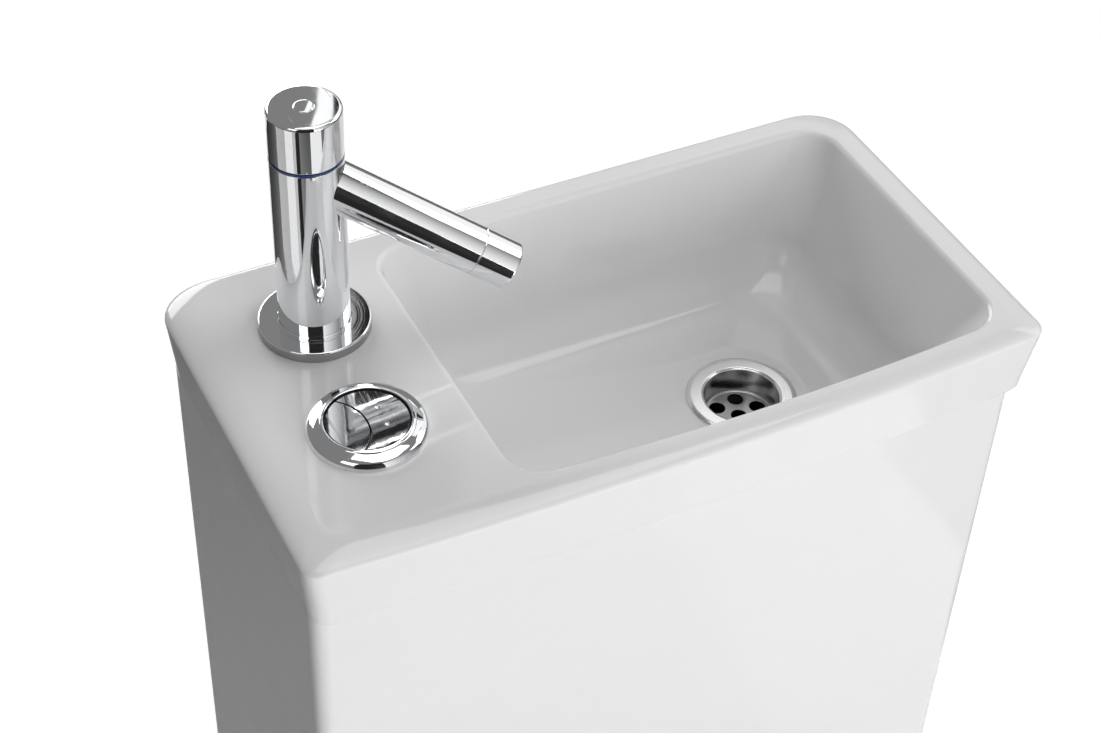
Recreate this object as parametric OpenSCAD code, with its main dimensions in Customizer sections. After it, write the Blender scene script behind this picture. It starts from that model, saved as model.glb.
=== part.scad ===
// Close-coupled toilet with a hand basin built into the top of its cistern.
// Frame: +Z up from the floor, -Y to the front of the pan, +X to the right as seen from the front.
// The origin lies on the floor, under the middle of the whole unit.

/* [Overall] */
// Width of the basin and of the whole unit
unit_w = 500; // [440:1:640]
// Height of the basin's top above the floor
basin_top_h = 890; // [840:1:1000]
// Distance from the wall to the front of the pan
pan_projection = 710; // [660:1:780]

/* [Basin] */
// Depth of the basin from front to back
basin_d = 260; // [250:1:320]
// Height of the basin's outer rim
slab_h = 54; // [44:1:70]
// How far the outer rim leans in at its foot
slab_draft = 5; // [0:0.5:10]
// Height of the roll round the rim's top edge
slab_edge_r = 6; // [3:0.5:9]
// Width of that roll on the front and the two sides
slab_roll_w = 22; // [12:1:24]
// Rounding of the rim's lower edge
slab_foot_r = 2; // [1:0.5:5]
// Radius of the rim's front corners in plan
slab_front_r = 11; // [8:1:30]
// Radius of its back corners
slab_back_r = 30; // [12:1:36]
// How far the front bows out at its middle
front_bow = 7; // [0:0.5:10]
// Thickness of the flat deck
deck_t = 14; // [10:1:18]
// Width of the rim on the underside
rim_w = 24; // [22.5:0.5:30]
// Distance from the left side to the bowl
bowl_left = 140; // [130:1:170]
// Distance from the right side to the bowl
bowl_right = 23; // [20:1:40]
// Distance from the front to the bowl
bowl_front = 20; // [14:0.5:24]
// Distance from the wall to the bowl
bowl_back = 21; // [18:1:32]
// Radius of the bowl's corners at the top
bowl_corner_r = 22; // [14:1:34]
// Rounding of the bowl's upper edge
bowl_lip_r = 4; // [2:0.5:6]
// Depth of the bowl down to its floor
bowl_depth = 112; // [90:1:125]
// Fall of the floor towards the waste
bowl_fall = 6; // [3:0.5:9]
// Radius between the bowl's walls and its floor
bowl_fillet_r = 34; // [24:1:40]
// Run of the left wall
lean_left = 16; // [6:1:24]
// Run of the right wall
lean_right = 18; // [14:1:26]
// Run of the front wall
lean_front = 29; // [25:1:33]
// Run of the back wall
lean_back = 7; // [4:1:14]
// Thickness of the bowl's walls
bowl_wall = 8; // [6:0.5:9]

/* [Tap] */
// Distance from the left side to the tap
tap_x = 82; // [60:1:86]
// Distance from the front to the tap
tap_y = 190; // [170:1:200]
// Diameter of the tap hole in the deck
tap_hole_d = 35; // [34:0.5:37]
// Diameter of the base flange
tap_base_d = 70; // [56:1:72]
// Height of the base flange
tap_base_h = 7; // [3:0.5:8]
// Diameter of the tap's body
tap_body_d = 44.4; // [40:0.2:50]
// Height of the body's top above the deck
tap_body_top = 131; // [126:1:150]
// Height of the collar at the body's foot
tap_collar_h = 2; // [1.5:0.5:12]
// Thickness of the index ring
index_t = 1.6; // [1:0.2:3]
// Height of the turning knob
knob_h = 32; // [24:1:44]
// Diameter of the plug in the knob's top
knob_plug_d = 12; // [8:1:18]
// Diameter of the spout
spout_d = 30.4; // [24:0.2:34]
// Diameter of the waterway in the spout
spout_bore_d = 18; // [12:0.5:20]
// Length of the spout from the tap's axis to its tip
spout_len = 138; // [120:1:160]
// Length of the aerator's sleeve at the tip
aerator_len = 25; // [18:1:32]
// Height on the tap's axis that the spout points from
spout_root_z = 119; // [117:1:121]
// Slope of the spout
spout_slope = 30; // [26:1:33]
// Turn of the spout towards the front
spout_turn = 26; // [10:1:34]
// Diameter of the threaded shank
tap_shank_d = 33; // [30:0.5:33.5]
// Length of the shank under the deck
tap_shank_len = 52; // [44:1:60]

/* [Flush button] */
// Distance from the left side to the button
button_x = 76; // [66:1:86]
// Distance from the front to the button
button_y = 92.5; // [82:0.5:104]
// Diameter of the chrome collar
collar_d = 73.5; // [70:0.5:80]
// Height of the chrome collar
collar_h = 8; // [6:0.5:11]
// Diameter of the opening in the collar
opening_d = 51.2; // [48:0.2:54]
// Diameter of the hole in the deck
button_hole_d = 61; // [60:0.5:63]
// Depth of the button's housing under the deck
housing_depth = 34; // [30:1:40]
// Travel of each push plate
button_travel = 7; // [5:0.5:9]
// Thickness of each push plate
plate_t = 5; // [4:0.5:6]
// Radius of the arc that parts the two plates
split_r = 29; // [26:0.5:34]
// Distance from the button's middle to the arc's centre
split_shift = 29.5; // [27:0.5:33]
// Diameter of each plunger
plunger_d = 6; // [5:0.5:7]
// Outer diameter of the cable sheaths
cable_d = 6; // [5:0.5:7]

/* [Waste] */
// Distance from the left side to the waste
waste_x = 363; // [340:1:380]
// Distance from the front to the waste
waste_y = 128; // [124:1:140]
// Diameter of the waste's flange
waste_flange_d = 76; // [66:1:78]
// Diameter of the cup's opening
waste_cup_d = 52; // [48:0.5:54]
// Depth of the cup above the strainer
waste_cup_h = 19.5; // [16:0.5:21]
// Diameter of the threaded tail
waste_tail_d = 41.9; // [40:0.1:42]
// Length of the tail under the bowl
waste_tail_len = 72; // [68:1:84]
// Diameter of the strainer's holes
strainer_hole_d = 10.8; // [8:0.1:11.5]
// Length of the drain pipe
drain_len = 150; // [100:1:180]
// Wall of the drain pipe
drain_wall = 3; // [2:0.5:4]

/* [Cistern] */
// How far the cistern stands in from each side of the basin's rim
body_inset = 7; // [6:0.5:12]
// How far it stands back from the front of the rim
body_setback = 12; // [10:0.5:12]
// Thickness of the cistern's walls
cistern_wall = 10; // [8:0.5:10]
// Thickness of the cistern's floor
cistern_floor = 12; // [10:0.5:16]
// Gap between the pan's shelf and the cistern
coupling_gap = 12; // [10:0.5:16]
// Radius of the cistern's front corners
cistern_corner_r = 10; // [8:1:26]
// Radius of the cistern's back corners
cistern_back_r = 16; // [6:1:18]
// Rounding of the cistern's lower edge
cistern_foot_r = 14; // [8:1:20]
// Thickness of the gasket under the basin
gasket_t = 2; // [1:0.5:3]
// Distance between the two wall holes
wall_hole_span = 300; // [240:1:340]
// Depth of the wall holes below the cistern's top
wall_hole_drop = 34; // [28:1:44]
// Diameter of the wall holes
wall_hole_d = 10; // [8:0.5:12]
// Distance from the unit's side to each water inlet
inlet_side = 58; // [54:1:64]
// Distance from the wall to each water inlet
inlet_y = 90; // [76:1:110]
// Diameter of the inlet threads
inlet_thread_d = 20.9; // [20:0.1:22]
// Length of the inlet threads
inlet_len = 36; // [30:1:44]
// Diameter of the inlet shanks in the cistern's floor
inlet_shank_d = 24; // [23:0.5:26]
// Outer diameter of the tap's hose
hose_d = 12; // [10:0.5:14]

/* [Flush valve] */
// Distance from the wall to the flush valve
valve_y = 125; // [115:1:140]
// Diameter of the threaded valve shank
valve_shank_d = 62; // [58:0.5:64]
// Diameter of the valve's flange
valve_flange_d = 92; // [86:1:100]
// Diameter of the valve's outlet
valve_bore_d = 52; // [44:1:54]
// Length of the shank under the cistern's floor
valve_shank_len = 40; // [32:1:46]
// Height of the valve's tower
tower_h = 190; // [160:1:205]
// Diameter of the overflow tube
overflow_d = 28; // [24:1:32]
// Height of the overflow tube
overflow_h = 236; // [220:1:240]

/* [Fill valve] */
// Diameter of the fill valve's column
column_d = 24; // [20:0.5:28]
// Height of the fill valve's column
column_h = 236; // [200:1:250]
// Diameter of the float cup
float_d = 60; // [50:1:64]
// Height of the float cup
float_h = 62; // [50:1:80]
// Travel of the float cup
float_travel = 10; // [6:1:12]

/* [Pan] */
// Height of the pan's rim
pan_h = 400; // [380:1:420]
// Width of the pan at its rim
pan_w = 362; // [350:1:380]
// Gap between the pan's shelf and the nuts of the water inlets
shelf_gap = 12; // [8:1:20]
// Width of the pan's foot
foot_w = 220; // [200:1:250]
// Setback of the foot from the pan's front
foot_setback = 150; // [120:1:180]
// Gap between the pan's back and the wall
pan_back_gap = 24; // [16:1:34]
// Thickness of the pan's walls
pan_wall = 13; // [11:0.5:15]
// Thickness of the pan's top
pan_top_t = 14; // [12:0.5:17]
// Rounding of the pan's upper edge
pan_edge_r = 10; // [6:0.5:12]
// Width of the pan's bowl at the rim
bowl_w = 252; // [240:1:260]
// Distance from the pan's front to its bowl
bowl_setback = 50; // [44:1:60]
// Length of the pan's bowl at the rim
bowl_len = 292; // [270:1:300]
// Outer diameter of the outlet spigot
spigot_d = 102; // [100:1:110]
// Height of the outlet's axis above the floor
spigot_z = 180; // [178:1:190]
// Gap between the spigot's end and the wall
spigot_gap = 62; // [50:1:80]
// Length of the straight spigot
spigot_len = 62; // [50:1:70]
// Diameter of the trapway
trap_d = 66; // [58:1:70]
// Diameter of the floor screw holes
floor_hole_d = 9; // [7:0.5:11]
// Distance from the wall to the floor screw holes
floor_hole_y = 215; // [190:1:250]

/* [Seat and lid] */
// Distance from the cistern to the hinge axis
hinge_gap = 75; // [70:1:86]
// Height of the hinge axis above the rim
hinge_z = 22; // [21:0.5:25]
// Distance between the two hinge posts
hinge_span = 155; // [140:1:165]
// Diameter of the hinge pins
hinge_pin_d = 10; // [8:0.5:11]
// Diameter of the hinge barrels
barrel_d = 18; // [16:0.5:19]
// How far the seat reaches over the pan's front and sides
seat_lip = 3; // [0:0.5:6]
// Thickness of the seat
seat_t = 16; // [14:0.5:17]
// Thickness of the lid
lid_t = 15; // [12:0.5:18]
// Width of the seat's ring
seat_band = 74; // [62:1:80]
// Height of the rubber feet under the seat
seat_foot_h = 5; // [4:0.5:6]

/* [Hidden] */
$fn = 64;

// Clearances
slip = 0.05;        // running fit of a shaft in its bore, on the radius
part_gap = 0.3;     // between pieces that move past each other
hole_gap = 1;       // around a shank in a hole of the fired clay
cut = 1;            // how far a cutting shape runs past the face that it opens
sink = 1;           // how far a small form starts inside the solid that carries it
least_r = 3;        // smallest corner radius of an inner outline

// Planes and axes of the whole unit
y_wall = (pan_projection + seat_lip) / 2;
y_pan_front = y_wall - pan_projection;
x_left = -unit_w / 2;
y_basin = y_wall - basin_d;
z_deck = basin_top_h;
z_slab = z_deck - slab_h;
y_cistern = y_basin + body_setback;
cistern_half = unit_w / 2 - body_inset;
z_cistern = pan_h + coupling_gap;
z_cistern_top = z_slab - gasket_t;
z_inside = z_cistern + cistern_floor;
inlet_x = unit_w / 2 - inlet_side;
x_tap = x_left + tap_x;
y_tap = y_basin + tap_y;
x_button = x_left + button_x;
y_button = y_basin + button_y;
x_waste = x_left + waste_x;
y_waste = y_basin + waste_y;
y_valve = y_wall - valve_y;
y_inlet = y_wall - inlet_y;
y_hinge = y_cistern - hinge_gap;
z_hinge = pan_h + hinge_z;

// ---------- Shared shapes ----------

function unit(v) = v / norm(v);
function at_height(outline, z) = [for (p = outline) [p[0], p[1], z]];
function mix(a, b, t) = a * (1 - t) + b * t;

// Corner of a rounded outline, from angle a to a + 90
function corner(x, y, r, a, steps) =
    [for (i = [0:steps]) [x + r * cos(a + 90 * i / steps), y + r * sin(a + 90 * i / steps)]];

// Rectangle with round corners whose front side bows out, counter-clockwise from the front left
function bowed_rectangle(x0, x1, y0, y1, front_r, back_r, bow, steps = 6, spans = 8) =
    let (
        mid = (x0 + x1) / 2,
        half = (x1 - x0) / 2,
        front = concat(
            corner(x0 + front_r, y0 + front_r, front_r, 180, steps),
            [for (i = [1:spans - 1]) [mix(x0 + front_r, x1 - front_r, i / spans), y0]],
            corner(x1 - front_r, y0 + front_r, front_r, 270, steps)
        )
    )
    concat(
        [for (p = front) [p[0], p[1] - bow * (1 - pow((p[0] - mid) / half, 2))]],
        corner(x1 - back_r, y1 - back_r, back_r, 0, steps),
        corner(x0 + back_r, y1 - back_r, back_r, 90, steps)
    );

// Outline with a half-ellipse in front and round corners at the back, counter-clockwise
function horseshoe(half, back_half, front, middle, back, back_r, steps = 26, corner_steps = 4) =
    concat(
        [for (i = [0:steps])
            let (a = 180 + 180 * i / steps)
            [half * cos(a), middle + (middle - front) * sin(a)]],
        corner(back_half - back_r, back - back_r, back_r, 0, corner_steps),
        corner(back_r - back_half, back - back_r, back_r, 90, corner_steps)
    );

// Closed solid through a list of outlines that all have the same number of points
module loft(rings) {
    count = len(rings[0]);
    last = len(rings) - 1;
    points = [for (ring = rings) for (p = ring) p];
    low = [for (i = [0:count - 1]) i];
    high = [for (i = [count - 1:-1:0]) last * count + i];
    sides = [
        for (k = [0:last - 1])
            for (i = [0:count - 1])
                let (j = (i + 1) % count)
                for (half = [0, 1])
                    half == 0
                        ? [k * count + i, (k + 1) * count + j, k * count + j]
                        : [k * count + i, (k + 1) * count + i, (k + 1) * count + j]
    ];
    polyhedron(points, concat([low], [high], sides));
}

// Smooth curve through hand-set points, whose first and last stretches stay straight
function curve_point(a, b, c, d, t) =
    0.5 * (2 * b + (c - a) * t + (2 * a - 5 * b + 4 * c - d) * t * t + (3 * b - a - 3 * c + d) * t * t * t);
function smooth_route(route, steps) =
    let (last = len(route) - 1)
    concat(
        [route[0]],
        [for (i = [1:last - 2])
            for (j = [0:steps - 1])
                curve_point(route[i - 1], route[i], route[i + 1], route[i + 2], j / steps)],
        [route[last - 1], route[last]]
    );

// Arc of a turned profile about a centre, from one angle to another
function arc(centre, r, from, to, steps = 4) =
    [for (i = [0:steps]) centre + r * [cos(mix(from, to, i / steps)), sin(mix(from, to, i / steps))]];

// Round tube of the given sides along a path; side_axis is a direction that the path never takes
module tube(path, radius, sides, side_axis) {
    last = len(path) - 1;
    rings = [
        for (i = [0:last])
            let (
                along = unit(path[min(i + 1, last)] - path[max(i - 1, 0)]),
                across = unit(cross(side_axis, along)),
                up = cross(along, across)
            )
            [for (k = [0:sides - 1])
                path[i] + radius * (cos(360 * k / sides) * across + sin(360 * k / sides) * up)]
    ];
    loft(rings);
}

module at(x, y, z = 0) {
    translate([x, y, z]) children();
}

// Cylinder along X, centred on the origin
module rod_x(diameter, length) {
    rotate([0, 90, 0]) cylinder(d = diameter, h = length, center = true);
}

module ring(outer_d, inner_d, height) {
    difference() {
        cylinder(d = outer_d, h = height);
        at(0, 0, -cut) cylinder(d = inner_d, h = height + 2 * cut);
    }
}

// Hexagonal nut with a round bore, standing on the origin
module hex_nut(width, bore_d, height) {
    difference() {
        cylinder(d = width / cos(30), h = height, $fn = 6);
        at(0, 0, -cut) cylinder(d = bore_d, h = height + 2 * cut);
    }
}

// ---------- Basin ----------

// The basin's outline: side draws in the front and the two sides, back draws in the side at the wall
// and soften widens the front corners
function slab_outline(side, back, soften) =
    bowed_rectangle(
        x_left + side, -x_left - side, y_basin + side, y_wall - back,
        slab_front_r + soften, slab_back_r - back / 2, front_bow
    );
edge_steps = 5;
lean_h = slab_h - slab_edge_r;
slab_rings = concat(
    [for (i = [0:edge_steps])
        let (
            a = 90 * i / edge_steps,
            edge = slab_foot_r * (1 - sin(a)),
            height = slab_foot_r * (1 - cos(a))
        )
        at_height(slab_outline(edge + slab_draft * (1 - height / lean_h), edge, 0), z_slab + height)],
    [for (i = [0:edge_steps])
        let (
            a = 90 * i / edge_steps,
            roll = slab_roll_w * (1 - cos(a))
        )
        at_height(
            slab_outline(roll, slab_edge_r * (1 - cos(a)), roll / 2),
            z_deck - slab_edge_r * (1 - sin(a))
        )]
);

// The basin bowl's outline after its walls have come in by a share of their lean and by an inset
function bowl_outline(share, inset, corner_r) =
    bowed_rectangle(
        x_left + bowl_left + lean_left * share + inset,
        -x_left - bowl_right - lean_right * share - inset,
        y_basin + bowl_front + lean_front * share + inset,
        y_wall - bowl_back - lean_back * share - inset,
        corner_r, corner_r, front_bow * (1 - share)
    );
waste_land = 6;
waste_outline_r = waste_flange_d / 2 + waste_land;
nearly_round = 0.98;
function waste_outline(r) =
    bowed_rectangle(
        x_waste - r, x_waste + r, y_waste - r, y_waste + r,
        r * nearly_round, r * nearly_round, 0
    );

fillet_steps = 6;
floor_steps = 3;
// Rings of the bowl from the top down; wall is 0 for the hollow and the thickness for the outside
function bowl_rings(wall) =
    let (
        wall_end = bowl_depth - bowl_fillet_r,
        crease = bowl_outline(1, bowl_fillet_r, bowl_corner_r),
        centre = waste_outline(waste_outline_r)
    )
    concat(
        [at_height(bowl_outline(0, -wall, bowl_corner_r + wall), z_deck - bowl_lip_r - wall)],
        [at_height(bowl_outline(0.5, -wall, bowl_corner_r + wall), z_deck - (bowl_lip_r + wall_end) / 2)],
        [for (i = [0:fillet_steps])
            let (a = 90 * i / fillet_steps)
            at_height(
                bowl_outline(
                    1, bowl_fillet_r - (bowl_fillet_r + wall) * cos(a), bowl_corner_r + wall * cos(a)
                ),
                z_deck - wall_end - (bowl_fillet_r + wall) * sin(a)
            )],
        [for (i = [1:floor_steps])
            at_height(
                mix(crease, centre, i / floor_steps),
                z_deck - bowl_depth - wall - bowl_fall * i / floor_steps
            )]
    );
function lip_rings() =
    concat(
        [at_height(bowl_outline(0, -bowl_lip_r, bowl_corner_r + bowl_lip_r), z_deck + cut)],
        [for (i = [0:edge_steps - 1])
            let (a = 90 * i / edge_steps)
            at_height(
                bowl_outline(0, -bowl_lip_r * (1 - sin(a)), bowl_corner_r + bowl_lip_r * (1 - sin(a))),
                z_deck - bowl_lip_r * (1 - cos(a))
            )]
    );
function reverse(list) = [for (i = [len(list) - 1:-1:0]) list[i]];
z_bowl_floor = z_deck - bowl_depth - bowl_fall;
waste_hole_d = waste_tail_d + 2 * hole_gap;

hollow_front_r = 12;
hollow_back_r = 8;
hollow_back_gap = 2;
function slab_hollow() =
    bowed_rectangle(
        x_left + rim_w, -x_left - rim_w, y_basin + rim_w, y_wall - cistern_wall - hollow_back_gap,
        hollow_front_r, hollow_back_r, front_bow
    );

// Planes of the waste under the bowl's floor, and the fired boss that holds its cup
flange_t = 2;
strainer_t = 2;
shoulder_h = 7;
cup_wall = 1.6;
boss_wall = 6;
cup_outer_r = waste_cup_d / 2 + cup_wall;
strainer_z = flange_t - waste_cup_h;
cup_under_z = strainer_z - strainer_t;
shoulder_z = cup_under_z - shoulder_h;
boss_z = shoulder_z - boss_wall;
module waste_boss() {
    at(0, 0, boss_z) cylinder(r = cup_outer_r + hole_gap + boss_wall, h = -bowl_wall + sink - boss_z);
}
module waste_recess() {
    rotate_extrude()
    polygon([
        [0, boss_z - cut],
        [waste_hole_d / 2, boss_z - cut],
        [waste_hole_d / 2, shoulder_z],
        [cup_outer_r + hole_gap, cup_under_z],
        [cup_outer_r + hole_gap, cut],
        [0, cut]
    ]);
}

module basin() {
    color("whitesmoke")
    difference() {
        union() {
            difference() {
                loft(slab_rings);
                loft([
                    at_height(slab_hollow(), z_slab - cut),
                    at_height(slab_hollow(), z_deck - deck_t)
                ]);
            }
            loft(reverse(bowl_rings(bowl_wall)));
            at(x_waste, y_waste, z_bowl_floor) waste_boss();
        }
        loft(reverse(concat(lip_rings(), bowl_rings(0))));
        at(x_tap, y_tap, z_deck - deck_t - cut) cylinder(d = tap_hole_d, h = deck_t + 2 * cut);
        at(x_button, y_button, z_deck - deck_t - cut) cylinder(d = button_hole_d, h = deck_t + 2 * cut);
        at(x_waste, y_waste, z_bowl_floor) waste_recess();
    }
}

gasket_inset = 2.5;
gasket_overhang = 1.5;
module basin_gasket() {
    color("dimgray")
    difference() {
        at(0, 0, z_cistern_top) linear_extrude(gasket_t) polygon(cistern_outline(gasket_inset));
        at(0, 0, z_cistern_top - cut)
            linear_extrude(gasket_t + 2 * cut) polygon(cistern_outline(cistern_wall - gasket_overhang));
    }
}

// ---------- Cistern ----------

function cistern_outline(inset) =
    bowed_rectangle(
        inset - cistern_half, cistern_half - inset, y_cistern + inset, y_wall - inset,
        max(cistern_corner_r - inset, least_r), max(cistern_back_r - inset, least_r), front_bow
    );
// Rings of the cistern from its foot up; wall is 0 for the outside
function cistern_rings(wall, low, high) =
    concat(
        [for (i = [0:edge_steps])
            let (a = 90 * i / edge_steps)
            at_height(
                cistern_outline(wall + cistern_foot_r * (1 - sin(a))),
                low + cistern_foot_r * (1 - cos(a))
            )],
        [at_height(cistern_outline(wall), high)]
    );
bolt_span = 156;
bolt_d = 8;
bolt_hole_gap = 2.5;
bolt_hole_d = bolt_d + 2 * bolt_hole_gap;
valve_hole_d = valve_shank_d + 2 * hole_gap;
inlet_hole_d = inlet_shank_d + 2 * hole_gap;

module cistern() {
    color("white")
    difference() {
        loft(cistern_rings(0, z_cistern, z_cistern_top));
        loft(cistern_rings(cistern_wall, z_inside, z_cistern_top + cut));
        at(0, y_valve, z_cistern - cut) cylinder(d = valve_hole_d, h = cistern_floor + 2 * cut);
        for (side = [-1, 1]) {
            at(side * bolt_span / 2, y_valve, z_cistern - cut)
                cylinder(d = bolt_hole_d, h = cistern_floor + 2 * cut);
            at(side * inlet_x, y_inlet, z_cistern - cut)
                cylinder(d = inlet_hole_d, h = cistern_floor + 2 * cut);
            at(side * wall_hole_span / 2, y_wall + cut, z_cistern_top - wall_hole_drop)
                rotate([90, 0, 0]) cylinder(d = wall_hole_d, h = cistern_wall + 2 * cut);
        }
    }
}

// ---------- Coupling of cistern and pan ----------

backnut_w = 84;
backnut_h = 10;
doughnut_wall = 10;
doughnut_inner_d = backnut_w / cos(30) + hole_gap;
doughnut_d = doughnut_inner_d + 2 * doughnut_wall;
recess_h = 8;

module doughnut_seal() {
    color("dimgray")
    at(0, y_valve, pan_h - recess_h)
        ring(doughnut_d, doughnut_inner_d, recess_h + coupling_gap);
}

module flush_backnut() {
    color("white")
    at(0, y_valve, z_cistern - backnut_h) hex_nut(backnut_w, valve_shank_d, backnut_h);
}

washer_d = 28;
washer_t = 4;
bolt_head_w = 16;
bolt_head_h = 5.5;
bolt_tail = 30;
bolt_len = washer_t + cistern_floor + coupling_gap + pan_top_t + bolt_tail;
module cistern_bolt(side) {
    color("silver")
    at(side * bolt_span / 2, y_valve) {
        at(0, 0, z_inside + washer_t) cylinder(d = bolt_head_w / cos(30), h = bolt_head_h, $fn = 6);
        at(0, 0, z_inside + washer_t - bolt_len) cylinder(d = bolt_d, h = bolt_len);
    }
}
module bolt_washer(side) {
    color("dimgray")
    at(side * bolt_span / 2, y_valve, z_inside) ring(washer_d, bolt_d, washer_t);
}
wing_hub_d = 20;
wing_hub_h = 9;
wing = [11, 3, 13];
wing_drop = 7;
module wing_nut(side) {
    color("silver")
    at(side * bolt_span / 2, y_valve, pan_h - pan_top_t - wing_hub_h)
    difference() {
        union() {
            cylinder(d = wing_hub_d, h = wing_hub_h);
            for (turn = [0, 180])
                rotate([0, 0, turn]) at(wing_hub_d / 2 - 2 * sink, -wing[1] / 2, -wing_drop) cube(wing);
        }
        at(0, 0, -cut) cylinder(d = bolt_d, h = wing_hub_h + 2 * cut);
    }
}

// ---------- Flush valve ----------

valve_washer_t = 3;
valve_washer_inset = 2;
z_valve = z_inside + valve_washer_t;
valve_flange_t = 5;
z_valve_seat = z_valve + valve_flange_t;
post_d = 7;
post_inset = 6;
post_ring_d = valve_flange_d - 2 * post_inset;
head_h = 26;
z_head = z_valve_seat + tower_h;
seal_t = 3;
seal_overlap = 7;
seal_d = valve_bore_d + 2 * seal_overlap;

module flush_valve_body() {
    color("white")
    at(0, y_valve) {
        difference() {
            union() {
                at(0, 0, z_inside) cylinder(d = valve_flange_d - 2 * valve_washer_inset, h = valve_washer_t);
                at(0, 0, z_valve) cylinder(d = valve_flange_d, h = valve_flange_t);
                at(0, 0, z_cistern - valve_shank_len)
                    cylinder(d = valve_shank_d, h = valve_shank_len + cistern_floor + valve_washer_t);
            }
            at(0, 0, z_cistern - valve_shank_len - cut)
                cylinder(d = valve_bore_d, h = z_valve_seat - z_cistern + valve_shank_len + 2 * cut);
        }
        for (turn = [45:90:315])
            rotate([0, 0, turn]) at(post_ring_d / 2, 0, z_valve_seat - sink)
                cylinder(d = post_d, h = tower_h + sink);
    }
}

catch_stem_d = 5;
cable_turns = [150, 210];
cable_ring_d = 60;
ferrule_h = 8;
ferrule_wall = 2.5;
head_rim = 1.5;
module flush_valve_head() {
    color("royalblue")
    at(0, y_valve, z_head)
    difference() {
        union() {
            cylinder(d = post_ring_d + post_d + 2 * head_rim, h = head_h);
            for (turn = cable_turns)
                rotate([0, 0, turn]) at(cable_ring_d / 2, 0, head_h - sink)
                    cylinder(d = cable_d + 2 * ferrule_wall, h = ferrule_h + sink);
        }
        at(0, 0, -cut) cylinder(d = overflow_d + 2 * hole_gap, h = head_h + 2 * cut);
        at(cable_ring_d / 2, 0, -cut) cylinder(d = catch_stem_d + 2 * slip, h = head_h + 2 * cut);
    }
}

tube_wall = 2;
seal_plate_h = 4;
module overflow_tube() {
    color("white")
    at(0, y_valve, z_valve_seat + seal_t) {
        difference() {
            union() {
                cylinder(d = seal_d - 2 * hole_gap, h = seal_plate_h);
                cylinder(d = overflow_d, h = overflow_h);
            }
            at(0, 0, -cut) cylinder(d = overflow_d - 2 * tube_wall, h = overflow_h + 2 * cut);
        }
    }
}

module flush_seal() {
    color("firebrick")
    at(0, y_valve, z_valve_seat) ring(seal_d, overflow_d - 2 * tube_wall, seal_t);
}

catch_d = 13;
catch_float_h = 30;
catch_hang = 60;
catch_top = 14;
module half_catch() {
    color("royalblue")
    at(cable_ring_d / 2, y_valve, z_head - catch_hang) {
        cylinder(d = catch_d, h = catch_float_h);
        cylinder(d = catch_stem_d, h = catch_hang + head_h + catch_top);
    }
}

// ---------- Flush button ----------

housing_wall = 2.5;
housing_floor = 3;
housing_d = button_hole_d - 2 * hole_gap;
plate_sink = 1.5;
z_plate = z_deck + collar_h - plate_sink;
plate_d = opening_d - 2 * part_gap;
plunger_places = [[-14, 0], [11, 0]];
plunger_reach = 12;
gland_wall = 2.5;
gland_floor = 2;
gland_d = plunger_d + 2 * gland_wall;
gland_h = plunger_reach + button_travel + gland_floor + cut;
bead_w = 2.8;
bead_h = 0.8;
collar_step = 1;
collar_fall = 2.4;
collar_skirt = 3;
collar_round_r = 4;

module button_collar() {
    color("silver")
    at(x_button, y_button, z_deck)
    rotate_extrude()
    polygon(concat(
        [[opening_d / 2, -collar_skirt]],
        [for (a = [180:-45:0])
            [opening_d / 2 + bead_w / 2 * (1 + cos(a)), collar_h - bead_h * (1 - sin(a))]],
        [[opening_d / 2 + bead_w + collar_step, collar_h - collar_step]],
        arc(
            [collar_d / 2 - collar_round_r, collar_h - collar_step - collar_fall - collar_round_r],
            collar_round_r, 90, 0
        ),
        [
            [collar_d / 2, 0],
            [housing_d / 2 - housing_wall - slip, 0],
            [housing_d / 2 - housing_wall - slip, -collar_skirt]
        ]
    ));
}

module button_housing() {
    color("white")
    at(x_button, y_button, z_deck)
    difference() {
        union() {
            at(0, 0, -housing_depth) cylinder(d = housing_d, h = housing_depth);
            for (place = plunger_places)
                at(place[0], place[1], -housing_depth - gland_h) cylinder(d = gland_d, h = gland_h + sink);
        }
        at(0, 0, housing_floor - housing_depth) cylinder(d = housing_d - 2 * housing_wall, h = housing_depth);
        for (place = plunger_places)
            at(place[0], place[1], gland_floor - housing_depth - gland_h)
                cylinder(d = plunger_d + 2 * slip, h = gland_h + housing_depth);
    }
}

button_nut_wall = 7;
button_nut_h = 9;
module button_nut() {
    color("white")
    at(x_button, y_button, z_deck - deck_t - button_nut_h)
        ring(housing_d + 2 * button_nut_wall, housing_d, button_nut_h);
}

// Half of the button: the plate inside the split arc, or the rest of the round
module plate_blank(inside) {
    at(0, 0, -plate_t)
    if (inside) {
        intersection() {
            cylinder(d = plate_d, h = plate_t);
            at(-split_shift, 0, -cut) cylinder(r = split_r - part_gap / 2, h = plate_t + 2 * cut);
        }
    } else {
        difference() {
            cylinder(d = plate_d, h = plate_t);
            at(-split_shift, 0, -cut) cylinder(r = split_r + part_gap / 2, h = plate_t + 2 * cut);
        }
    }
}

// Plunger of a plate, whose top face is at height 0
module plunger(place) {
    length = z_plate - z_deck + housing_depth + plunger_reach;
    at(place[0], place[1], -length) cylinder(d = plunger_d, h = length - plate_t / 2);
}

module plate_half() {
    color("silver")
    at(x_button, y_button, z_plate) {
        plate_blank(true);
        plunger(plunger_places[0]);
    }
}

dimple_r = 2;
dimple_depth = 0.8;
dimple_places = [[9.5, 8], [9.5, -7.5]];
module plate_full() {
    color("silver")
    at(x_button, y_button, z_plate) {
        difference() {
            plate_blank(false);
            for (place = dimple_places)
                at(place[0], place[1], dimple_r - dimple_depth) sphere(r = dimple_r);
        }
        plunger(plunger_places[1]);
    }
}

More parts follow.
